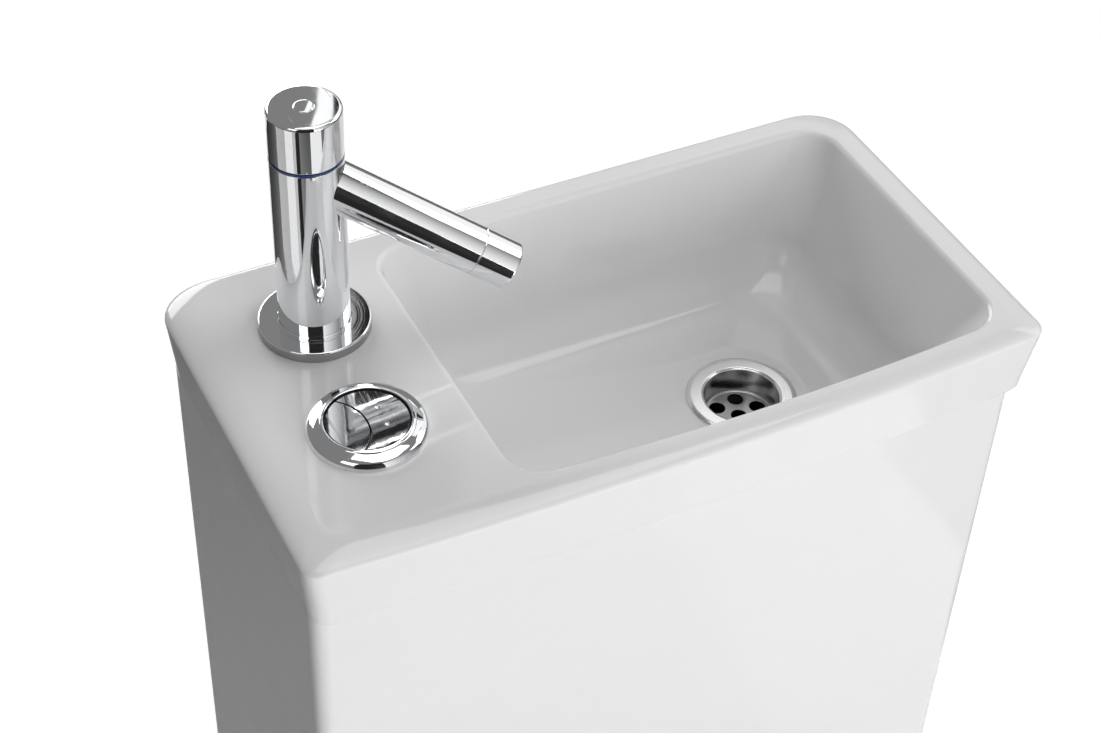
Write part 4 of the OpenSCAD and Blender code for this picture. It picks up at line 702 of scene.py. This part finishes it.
def make_basin(glaze):
    lean_h = Z_DECK - Z_SLAB - EDGE_R
    loops = []
    for inset, rise in rounding(FOOT_R, upward=False):
        height = FOOT_R - rise
        loops.append(slab_loop(inset + DRAFT * (1 - height / lean_h), inset, FRONT_R, Z_SLAB + height))
    for t in (0.33, 0.66, 0.95):
        loops.append(slab_loop(DRAFT * (1 - t), 0, FRONT_R, Z_SLAB + FOOT_R + (lean_h - FOOT_R) * t))
    for inset, rise in rounding(EDGE_R, steps=16):
        roll = inset * ROLL_W / EDGE_R
        loops.append(slab_loop(roll, inset, FRONT_R + roll / 2, Z_DECK - EDGE_R + rise))
    slab = skinned(loops)
    low, high = (X_LEFT + RIM_W, Y_BASIN + RIM_W), (X_RIGHT - RIM_W, Y_WALL - WALL_RIM_W)
    recess = skinned([
        lambda bm, z=z: cornered_loop(bm, low, high, 12, 8, FRONT_BOW, z)
        for z in (Z_SLAB - 1, Z_DECK - DECK_T)
    ])
    outside = skinned(bowl_wall_loops(BOWL_WALL))
    lip = [bowl_loop(0, -BOWL_LIP, BOWL_R + BOWL_LIP, Z_DECK + 1)]
    for inset, rise in rounding(BOWL_LIP, upward=False):
        lip.append(bowl_loop(0, -inset, BOWL_R + inset, Z_DECK - BOWL_LIP + rise))
    inside = skinned(lip[:-1] + bowl_wall_loops(0.0))
    waste_boss = turned([(0, -32.5), (34.6, -32.5, 2.5), (34.6, -7), (0, -7)], 96)
    bm = combined(slab, [
        ("DIFFERENCE", recess),
        ("UNION", outside),
        ("UNION", moved(waste_boss, *WASTE, Z_BOWL_FLOOR)),
        ("DIFFERENCE", inside),
        ("DIFFERENCE", moved(rod(35, 20, -17, 64), *TAP, Z_DECK)),
        ("DIFFERENCE", moved(rod(61, 20, -17, 80), *BUTTON, Z_DECK)),
        ("DIFFERENCE", moved(turned([
            (0, -33.5), (21.95, -33.5), (21.95, -26.5), (28.6, -19.5), (28.6, 1), (0, 1),
        ], 96), *WASTE, Z_BOWL_FLOOR)),
    ])
    finish_piece("basin_casting", bm, glaze, "base", ["basin"])


def cistern_loop(inset, z):
    low = (inset - CISTERN_HALF, Y_CISTERN + inset)
    high = (CISTERN_HALF - inset, Y_WALL - inset)
    front_r, back_r = max(CISTERN_FRONT_R - inset, 3), max(CISTERN_BACK_R - inset, 3)
    return lambda bm: cornered_loop(bm, low, high, front_r, back_r, FRONT_BOW, z)


def cistern_loops(wall, low, high):
    """Loops of the cistern from its rounded foot up; the wall is 0 for the outside."""
    foot = CISTERN_FOOT_R
    loops = [cistern_loop(wall + inset, low + foot - rise) for inset, rise in rounding(foot, upward=False)]
    return loops + [cistern_loop(wall, low + foot + (high - low - foot) * t) for t in (0.25, 0.5, 0.75, 1)]


def make_cistern(glaze):
    cuts = [("DIFFERENCE", skinned(cistern_loops(CISTERN_WALL, Z_INSIDE, Z_CISTERN_TOP + 1)))]
    holes = [(VALVE, 64.0)] + [((x, VALVE[1]), 13.0) for x in (-BOLT_X, BOLT_X)] + [(p, 26.0) for p in INLETS]
    for place, diameter in holes:
        cuts.append(("DIFFERENCE", moved(rod(diameter, 14, -1, 64), *place, Z_CISTERN)))
    for x in (-WALL_HOLE_X, WALL_HOLE_X):
        hole = transformed(rod(10, 14, -1, 40), Matrix.Rotation(math.pi / 2, 4, "X"))
        cuts.append(("DIFFERENCE", moved(hole, x, Y_WALL, Z_CISTERN_TOP - WALL_HOLE_DROP)))
    bm = combined(skinned(cistern_loops(0.0, Z_CISTERN, Z_CISTERN_TOP)), cuts)
    finish_piece("cistern_tank", bm, glaze, "base", ["cistern"])


# ---------- Pan ----------

def flare(share):
    """Share of the flare from the foot (0) to the rim (1) at a share of the height."""
    return math.sin(math.pi / 2 * max(0.0, (share - 0.12) / 0.88)) ** 3.2


def pan_loop(share, inset, z):
    k = flare(share)
    sizes = (
        mix(110, 181, k) - inset, mix(110, 160.95, k) - inset, mix(-203.5, -353.5, k) + inset,
        mix(-69.06, -129.06, k), 332.5, 12,
    )
    return lambda bm: horseshoe_loop(bm, *sizes, z)


def pan_hollow_loop(share, z):
    k = flare(share)
    sizes = (
        mix(97, 168, k), mix(97, 147.95, k), mix(-190.5, -340.5, k), mix(-69.06, -129.06, k), 372.5, 8,
    )
    return lambda bm: horseshoe_loop(bm, *sizes, z)


def pan_bowl_loop(share, wall, z=None):
    k, front_k = share ** 1.7, share ** 1.35
    sizes = (
        mix(126, 37, k) + wall, mix(104, 33, k) + wall, mix(-303.5, -98.5, front_k) - wall,
        mix(-147.26, -61.5, k), mix(-11.5, -24.5, k) + wall, mix(48, 24, k),
    )
    z = mix(PAN_H, 142, share) if z is None else z
    return lambda bm: horseshoe_loop(bm, *sizes, z)


def pan_bowl_solid(wall):
    loops = []
    for i in range(7):
        a = math.pi / 2 * i / 6
        loops.append(pan_bowl_loop(1, wall - 12 * (1 - math.sin(a)), 142 - (14 + wall) * math.cos(a)))
    loops += [pan_bowl_loop(1 - i / 22, wall) for i in range(1, 23)]
    if wall == 0:
        loops.append(pan_bowl_loop(0, 0, PAN_H + 1))
    return skinned(loops)


def rounded_route(route, steps):
    """Smooth curve through the route's points, whose first and last stretches stay straight."""
    points = [Vector(p) for p in route]
    curve = [points[0]]
    for a, b, c, d in zip(points, points[1:], points[2:], points[3:]):
        for j in range(steps):
            t = j / steps
            curve.append(0.5 * (2 * b + (c - a) * t + (2 * a - 5 * b + 4 * c - d) * t * t
                                + (3 * b - a - 3 * c + d) * t * t * t))
    return curve + points[-2:]


def pipe(path, radius, sides):
    """Round solid along a path that stays in the plane x = 0."""
    def ring(point, along):
        turn = along.to_track_quat("Z", "X").to_matrix().to_4x4()
        place = Matrix.Translation(point) @ turn

        def make(bm):
            made = bmesh.ops.create_circle(bm, cap_ends=False, radius=radius, segments=sides, matrix=place)
            return list({e for v in made["verts"] for e in v.link_edges})
        return make
    last = len(path) - 1
    return skinned([
        ring(path[i], (path[min(i + 1, last)] - path[max(i - 1, 0)]).normalized()) for i in range(last + 1)
    ])


TRAP_ROUTE = [
    (0, -61.5, 162), (0, -47.5, 118), (0, -1.5, 90), (0, 46.5, 108), (0, 80.5, 164),
    (0, 118.5, 200), (0, 164.5, 194), (0, 222.5, 180), (0, 252.5, 180),
]


def floor_ear(side):
    """Lug at the foot for a floor screw, with a rounded upper edge."""
    r, edge = EAR_R, 3.5
    ear = turned([(0, 0), (r, 0), (r, EAR_H, edge), (0, EAR_H)], 72, 5)
    root = block((-r, -r, 0), (0, r, EAR_H)) if side > 0 else block((0, -r, 0), (r, r, EAR_H))
    upper = [e for e in root.edges if all(v.co.z > EAR_H - 1 for v in e.verts)]
    upper = [e for e in upper if abs(e.verts[0].co.y - e.verts[1].co.y) < 1]
    bevelled(root, upper, edge, 5)
    return [moved(shape, EAR[0] * side, EAR[1]) for shape in (ear, root)]


def make_pan(glaze):
    levels = [i / 26 * 0.9 for i in range(27)]
    loops = [pan_loop(0, 1.2, 0), pan_loop(0, 0.3, 0.5)]
    loops += [pan_loop(s, 0, max(s * 390, 1.5)) for s in levels]
    loops += [pan_loop(1, inset, 390 + rise) for inset, rise in rounding(10)]
    hollow = [pan_hollow_loop(0, -1)] + [pan_hollow_loop(s, s * 390) for s in levels[1:] if s * 390 < 382]
    hollow.append(pan_hollow_loop(1, 386))
    steps = [("DIFFERENCE", skinned(hollow)), ("UNION", pan_bowl_solid(12.0))]
    steps.append(("UNION", block((-43, -31.5, 333), (43, 282.5, 387))))
    trap = rounded_route(TRAP_ROUTE, 5)
    steps.append(("UNION", pipe(trap, 42, 56)))
    on_side = Matrix.Rotation(math.pi / 2, 4, "X")
    spigot = transformed(turned([(0, 0), (51, 0, 2), (51, 62), (0, 62)], 80), on_side)
    steps.append(("UNION", moved(spigot, 0, Y_OUTLET, Z_OUTLET)))
    for side in (-1, 1):
        steps += [("UNION", shape) for shape in floor_ear(side)]
    steps.append(("DIFFERENCE", pan_bowl_solid(0.0)))
    steps.append(("DIFFERENCE", block((-34, -51.5, 342), (34, 231.5, 386))))
    steps.append(("DIFFERENCE", moved(rod(84, 59, 0, 72), *VALVE, 342)))
    steps.append(("DIFFERENCE", moved(rod(118.99, 9, 0, 80), *VALVE, 392)))
    steps.append(("DIFFERENCE", pipe(trap, 33, 56)))
    steps.append(("DIFFERENCE", moved(transformed(rod(84, 62, 0, 72), on_side), 0, Y_OUTLET + 1, Z_OUTLET)))
    for side in (-1, 1):
        steps.append(("DIFFERENCE", moved(rod(13, 16, 0, 40), BOLT_X * side, VALVE[1], 385)))
        steps.append(("DIFFERENCE", moved(rod(12, 16, 0, 40), HINGE_X * side, Y_HINGE, 385)))
        steps.append(("DIFFERENCE", moved(rod(9, 16, -1, 40), EAR[0] * side, EAR[1])))
    bm = combined(skinned(loops), steps)
    finish_piece("pan_casting", bm, glaze, "base", ["pan", "pan_foot"])


# ---------- Seat, lid and hinges ----------

def seat_loop(inset, z):
    sizes = (184 - inset, 170 - inset, -356.5 + inset, -120.98, 19.5 - inset, max(44 - inset, 6))
    return lambda bm: horseshoe_loop(bm, *sizes, z)


def seat_hole_loop(inset, z):
    sizes = (110 - inset, 96 - inset, -282.5 + inset, -126.98, -36.5 - inset, 50 - inset)
    return lambda bm: horseshoe_loop(bm, *sizes, z)


def hinge_lug(x, low, high):
    """Barrel round the hinge pin with its arm to the plate, and the bore that goes through it."""
    barrel = across(rod(18, 12, -6, 48, 0.8), x, Y_HINGE, Z_HINGE)
    arm = block((x - 6, Y_HINGE - 22, low), (x + 6, Y_HINGE, high))
    bore = across(rod(10.1, 14, -7, 40), x, Y_HINGE, Z_HINGE)
    return [("UNION", barrel), ("UNION", arm)], [("DIFFERENCE", bore)]


def with_lugs(solid, places, low, high, before=()):
    joins, bores = list(before), []
    for x in places:
        join, bore = hinge_lug(x, low, high)
        joins += join
        bores += bore
    return combined(solid, joins + bores)


def make_seat(white):
    z = 405.0
    loops = [seat_loop(inset, z + 2 - rise) for inset, rise in rounding(2, upward=False, steps=3)]
    loops += [seat_loop(inset, z + 9 + rise) for inset, rise in rounding(7)]
    loops += [seat_loop(7 + 8 * t, z + 16) for t in (0.5, 1)]
    hole = [seat_hole_loop(0, z - 1)]
    hole += [seat_hole_loop(-inset, z + 9 + rise) for inset, rise in rounding(7)]
    hole.append(seat_hole_loop(-7, z + 17))
    bm = with_lugs(skinned(loops), (-92.5, 92.5), z, z + 14, [("DIFFERENCE", skinned(hole))])
    finish_piece("seat_ring", bm, white, "seat_body", ["seat"])


def make_lid(white):
    z = 424.0
    loops = [seat_loop(inset, z + 2 - rise) for inset, rise in rounding(2, upward=False, steps=3)]
    crown = 1.6
    loops += [seat_loop(inset, z + 6 - crown + rise) for inset, rise in rounding(9)]
    for i in range(1, 9):
        t = i / 9
        loops.append(seat_loop(9 + 125 * t, z + 15 - crown * (1 - t) ** 2))
    bm = with_lugs(skinned(loops), (-62.5, 62.5), Z_HINGE, z + 6)
    finish_piece("seat_lid", bm, white, "lid_body", ["lid"])


def make_hinge_post(side, name, chrome):
    height = Z_HINGE - PAN_H
    foot = turned([(0, 0), (15, 0), (15, 4, 1.5), (0, 4)], 72)
    stem = block((-8, -7, 2), (8, 7, height), 1.6)
    barrel = across(turned([(0, -8), (9, -8, 1), (9, 8, 1), (0, 8)], 56), 0, 0, height)
    pin = across(rod(10, 42, -21, 40, 0.6), 0, 0, height)
    bolt = rod(8, 45, -44, 40, 0.8)
    bm = combined(foot, [("UNION", shape) for shape in (stem, barrel, pin, bolt)])
    bm = moved(bm, HINGE_X * side, Y_HINGE, PAN_H)
    finish_piece(name + "_cast", bm, chrome, "base", [name])


def make_feet(rubber):
    """Rubber buffers under the seat and the lid, domed where they land."""
    front, back = -180.98, -40.5
    for name, x, y in (
        ("seat_foot_front_left", -135, front), ("seat_foot_front_right", 135, front),
        ("seat_foot_back_left", -135, back), ("seat_foot_back_right", 135, back),
    ):
        foot = moved(turned([(0, 0.05), (7, 0.05, 1.6), (7, 5), (0, 5)], 48), x, y, PAN_H)
        finish_piece(name + "_buffer", foot, rubber, "seat_body", [name])
    pair = [moved(turned([(0, 0.05), (7, 0.05, 1), (7, 3), (0, 3)], 48), x, front, 421) for x in (-110, 110)]
    finish_piece("lid_buffers", together(*pair), rubber, "lid_body", ["lid_feet"])


# ---------- Tap ----------

def spout_place(distance=0.0):
    """Matrix that lays a turned piece along the spout, a distance from the tap's axis."""
    root = Matrix.Translation((*TAP, Z_DECK + 119))
    turn = Matrix.Rotation(math.radians(-26), 4, "Z") @ Matrix.Rotation(math.radians(120), 4, "Y")
    return root @ turn @ Matrix.Translation((0, 0, distance))


def make_tap(chrome, flange):
    r, groove_z = COLUMN_R, 9.0
    base = turned([(14.5, 0), (35, 0, 0.3), (35, FLANGE_H, 1.2), (14.5, FLANGE_H)], 128)
    finish_piece("tap_flange", moved(base, *TAP, Z_DECK), flange, "base", ["tap_base"])
    body = turned([
        (14.5, FLANGE_H), (r + 0.6, FLANGE_H, 0.25), (r + 0.6, groove_z - 0.6), (r, groove_z),
        (r - 0.6, groove_z),
        (r - 0.6, groove_z + 0.6), (r, groove_z + 0.6, 0.2), (r, 131, 0.3), (13, 131), (13, 62), (7, 62),
        (7, FLANGE_H + 6), (14.5, FLANGE_H + 6),
    ], 128)
    finish_piece("tap_column", moved(body, *TAP, Z_DECK), chrome, "base", ["tap_body"])
    knob = turned([
        (4.05, 136), (6.3, 136), (6.3, 133), (r, 133, 0.6), (r, 165, 2.4), (6, 165, 0.4), (6, 161),
        (4.05, 161),
    ], 128, 8)
    plug = turned([(0, 161), (6, 161), (6, 165.6, 0.7), (0, 165.6)], 72)
    for name, bm, node in (("tap_handle_cap", knob, "tap_knob"), ("tap_handle_plug", plug, "tap_knob_plug")):
        finish_piece(name, moved(bm, *TAP, Z_DECK), chrome, "tap_handle", [node])
    spout = transformed(turned([(9, 0), (SPOUT_R, 0), (SPOUT_R, 113, 0.3), (9, 113)], 112), spout_place())
    spout = combined(spout, [("DIFFERENCE", moved(rod(2 * r, 126, 5, 128), *TAP, Z_DECK))])
    finish_piece("tap_spout_tube", spout, chrome, "base", ["tap_spout"])
    sleeve = turned([
        (9, 0), (14.7, 0), (14.7, 0.5), (SPOUT_R, 0.5, 0.3), (SPOUT_R, 25, 1.6), (12, 25, 0.5), (12, 16),
        (9, 16),
    ], 112, 6)
    sleeve = transformed(sleeve, spout_place(113))
    finish_piece("aerator_shell", sleeve, chrome, "base", ["aerator_sleeve"])


# ---------- Flush button ----------

def make_button(plated):
    collar = turned([
        (25.6, -3), (25.6, 8, 1.3), (28.4, 8, 1.3), (28.9, 7, 0.3), (31.2, 6.4, 1.5), (35.9, 4.2, 2.6),
        (36.75, 0), (26.95, 0), (26.95, -3),
    ], 144, 8)
    collar = moved(collar, *BUTTON, Z_DECK)
    finish_piece("button_ring", collar, plated, "base", ["button_collar"])
    for name, body, split, split_r, place in (
        ("plate_half", "half_button", "INTERSECT", SPLIT_R - PART_GAP / 2, -14),
        ("plate_full", "full_button", "DIFFERENCE", SPLIT_R + PART_GAP / 2, 11),
    ):
        steps = [(split, moved(rod(2 * split_r, 7, -6, 160), -SPLIT_SHIFT, 0))]
        if name == "plate_full":
            for y in (8, -7.5):
                dot = bmesh.new()
                bmesh.ops.create_uvsphere(dot, u_segments=24, v_segments=16, radius=2)
                steps.append(("DIFFERENCE", moved(dot, 9.5, y, 1.2)))
        plate = combined(rod(2 * PLATE_R, 5, -5, 144), steps)
        edge = [e for e in plate.edges if all(v.co.z > -0.01 for v in e.verts) and e.calc_face_angle(0) > 1.4]
        bevelled(plate, edge, 0.45, 3)
        plate = combined(plate, [("UNION", moved(rod(6, 50, -52.5, 32), place, 0))])
        plate = moved(plate, *BUTTON, Z_DECK + 6.5)
        finish_piece(name + "_key", plate, plated, body, [name])


# ---------- Waste ----------

def make_waste(satin):
    body = turned([
        (0, -17.5), (24.3, -17.5, 1.6), (25.9, 0.9, 0.3), (26.9, 1.5, 0.25), (27.5, 2, 0.3), (35.4, 2, 1.4),
        (38, 0.9, 0.4), (38, 0), (27.6, 0), (27.6, -19.5), (20.95, -26.5), (20.95, -80, 0.6), (17.95, -80),
        (17.95, -26.5), (23.3, -19.5), (0, -19.5),
    ], 128, 6)
    places = [(0, 0)] + [
        (16.04 * math.cos(a), 16.04 * math.sin(a)) for a in (math.radians(9 + 60 * i) for i in range(6))
    ]
    holes = []
    for x, y in places:
        hole = turned([(0, -20.5), (5.4, -20.5), (5.4, -17.9), (5.8, -17.4), (0, -17.4)], 48)
        holes.append(("DIFFERENCE", moved(hole, x, y)))
    body = combined(body, holes)
    finish_piece("waste_grid", moved(body, *WASTE, Z_BOWL_FLOOR), satin, "base", ["waste_body"])


# ---------- Floor, lamps and cards ----------

def emptied(owner):
    """Node tree of a new material or world, without its nodes."""
    owner.use_nodes = True
    owner.node_tree.nodes.clear()
    return owner.node_tree


def show(tree, shader, kind="ShaderNodeOutputMaterial"):
    tree.links.new(shader.outputs[0], tree.nodes.new(kind).inputs["Surface"])


def add_floor():
    mesh = bpy.data.meshes.new("studio_floor")
    bm = bmesh.new()
    bmesh.ops.create_grid(bm, x_segments=1, y_segments=1, size=14)
    bm.to_mesh(mesh)
    bm.free()
    floor = bpy.data.objects.new("studio_floor", mesh)
    bpy.context.scene.collection.objects.link(floor)
    material = bpy.data.materials.new("studio_floor")
    tree = emptied(material)
    matt = put(tree, "ShaderNodeBsdfDiffuse", {"Color": (0.9, 0.9, 0.9, 1)})
    bright = put(tree, "ShaderNodeEmission", {"Color": (1, 1, 1, 1), "Strength": 1.05})
    rays = put(tree, "ShaderNodeLightPath").outputs
    seen = maths(tree, "MAXIMUM", rays["Is Camera Ray"], rays["Is Transmission Ray"])
    share = maths(tree, "MULTIPLY", seen, 0.9)
    both = put(tree, "ShaderNodeMixShader", {0: share, 1: matt.outputs[0], 2: bright.outputs[0]})
    show(tree, both)
    mesh.materials.append(material)


def add_world(fill_strength, mirrored_strength):
    """White where the camera looks past the object, dimmer as light and in polished faces."""
    world = bpy.data.worlds.new("studio")
    bpy.context.scene.world = world
    tree = emptied(world)
    rays = put(tree, "ShaderNodeLightPath").outputs
    seen = maths(tree, "MAXIMUM", rays["Is Camera Ray"], rays["Is Transmission Ray"])
    fill, room, white = (
        put(tree, "ShaderNodeBackground", {"Color": colour, "Strength": strength}) for colour, strength in (
            ((0.97, 0.98, 1, 1), fill_strength), ((1, 1, 1, 1), mirrored_strength), ((1, 1, 1, 1), 1.0),
        )
    )
    dim = put(tree, "ShaderNodeMixShader", {0: rays["Is Glossy Ray"], 1: fill.outputs[0], 2: room.outputs[0]})
    both = put(tree, "ShaderNodeMixShader", {0: seen, 1: dim.outputs[0], 2: white.outputs[0]})
    show(tree, both, "ShaderNodeOutputWorld")


def aim(thing, place, target):
    thing.location = place
    thing.rotation_euler = (Vector(target) - Vector(place)).to_track_quat("-Z", "Y").to_euler()


def add_lamp(name, place, target, size, power):
    data = bpy.data.lights.new(name, "AREA")
    data.shape = "RECTANGLE"
    data.size, data.size_y = size
    data.energy = power
    lamp = bpy.data.objects.new(name, data)
    aim(lamp, place, target)
    bpy.context.scene.collection.objects.link(lamp)


def add_card(name, place, target, size, shades=(0.02, 0.02), axis=1):
    """Card, plain or graded along one of its sides, that only polished metal and glaze see."""
    bm = bmesh.new()
    bmesh.ops.create_grid(bm, x_segments=1, y_segments=1, size=0.5)
    bmesh.ops.scale(bm, vec=(*size, 1), verts=bm.verts)
    card = as_object(bm, name)
    aim(card, place, target)
    material = bpy.data.materials.new(name)
    tree = emptied(material)
    local = put(tree, "ShaderNodeTexCoord").outputs["Object"]
    along = put(tree, "ShaderNodeSeparateXYZ", {0: local}).outputs[axis]
    shade = spread(tree, along, -size[axis] / 2, size[axis] / 2, *shades)
    paint = put(tree, "ShaderNodeEmission", {"Color": (1, 1, 1, 1), "Strength": shade})
    show(tree, paint)
    card.data.materials.append(material)
    for kind in ("camera", "diffuse", "transmission", "volume_scatter", "shadow"):
        setattr(card, "visible_" + kind, False)


add_camera()
finishes = make_finishes()

CAD_FINISHES = {
    "ceramic": "glaze", "chrome": "chrome", "plated_plastic": "plated", "white_plastic": "moulded_white",
    "blue_plastic": "valve_blue", "blue_ring": "index_blue", "grey_rubber": "dark_rubber",
    "red_rubber": "red_rubber", "pale_rubber": "pale_rubber", "steel": "zinc", "brass": "brass",
    "grey_plastic": "float_grey", "braid": "braid",
}
# The nodes that stay as they are keep their slots and get the finishes drawn above.
for node in nodes.values():
    for slot in node.material_slots:
        name = slot.material.name.split(".")[0] if slot.material else ""
        if name in CAD_FINISHES:
            slot.material = finishes[CAD_FINISHES[name]]
nodes["tap_inlet"].material_slots[0].material = finishes["inlet_brass"]
for name in ("seat", "lid"):
    nodes[name].material_slots[0].material = finishes["seat_white"]

for make, finish in (
    (make_basin, "glaze"), (make_cistern, "glaze"), (make_pan, "glaze"),
    (make_seat, "seat_white"), (make_lid, "seat_white"),
):
    make(finishes[finish])
for side, name in ((-1, "hinge_post_left"), (1, "hinge_post_right")):
    make_hinge_post(side, name, finishes["chrome"])
make_feet(finishes["pale_rubber"])
make_tap(finishes["chrome"], finishes["flange"])
make_button(finishes["plated"])
make_waste(finishes["satin"])

add_floor()
add_world(0.09, 0.22)
for lamp in (
    ("front_softbox", (0.35, -2.8, 0.95), (0, 0.2, 0.7), (2.2, 1.5), 54),
    ("high_softbox", (0.1, -2.8, 2.3), (0, 0.2, 0.8), (2.0, 1.0), 20),
    ("top_softbox", (0.2, 0.3, 2.7), (0.1, 0.2, 0.9), (1.2, 1.2), 10),
    ("right_softbox", (2.2, 0.2, 2.4), (0, 0.2, 0.8), (1.8, 1.4), 19),
    ("back_softbox", (0.0, 2.8, 1.8), (0, 0.2, 0.8), (2.0, 1.4), 46),
):
    add_lamp(*lamp)
# Most cards face the tap's column, in metres as all of the studio
COLUMN = (-0.17, 0.29, 0.95)
for card in (
    ("card_behind_camera", (-0.904, -1.784, 2.0), (-0.17, 0.29, 2.0), (2.0, 4.0)),
    ("card_front_right", (1.244, -1.395, 2.2), (-0.17, 0.29, 2.2), (3.08, 3.0), (1.0, 0.03), 0),
    ("card_right", (1.83, 1.22, 1.84), COLUMN, (1.1, 1.2), (1.0, 1.0)),
    ("card_left_high", (-2.03, -0.88, 2.8), COLUMN, (1.07, 1.4), (1.6, 1.6)),
    ("card_back_right", (1.03, 1.53, 2.28), (0.113, 0.2245, 0.78), (1.4, 1.2), (1.1, 1.1)),
    ("card_over_button", (0.42, 1.54, 2.31), (-0.165, 0.189, 0.897), (0.17, 0.6)),
    ("card_floor_near", (-0.2, -1.0, 0.01), (-0.2, -1.0, 1.0), (2.6, 0.7), (0.02, 0.25)),
    ("card_floor_far", (-0.2, -1.75, 0.01), (-0.2, -1.75, 1.0), (3.4, 0.8)),
    ("card_floor_bright", (0.1, -0.95, 0.015), (0.1, -0.95, 1.0), (0.8, 0.5), (0.9, 0.9)),
    ("card_floor_right", (1.08, -0.25, 0.012), (1.08, -0.25, 1.0), (0.7, 1.4), (0.2, 0.2)),
    ("card_rear_left", (-0.75, 0.75, 0.35), (-0.75, 0.1, 0.35), (1.0, 0.7), (0.2, 0.03)),
    ("card_floor_rear", (-0.75, 0.375, 0.008), (-0.75, 0.375, 1.0), (1.0, 0.75), (0.2, 0.2)),
    ("card_streak", (-0.925, -0.51, 0.25), (-0.17, 0.29, 0.25), (0.22, 0.5)),
    ("card_floor_left", (-1.3, -0.12, 0.2), COLUMN, (0.5, 0.4), (0.85, 0.85)),
):
    add_card(*card)

bpy.context.scene.view_settings.view_transform = "Standard"
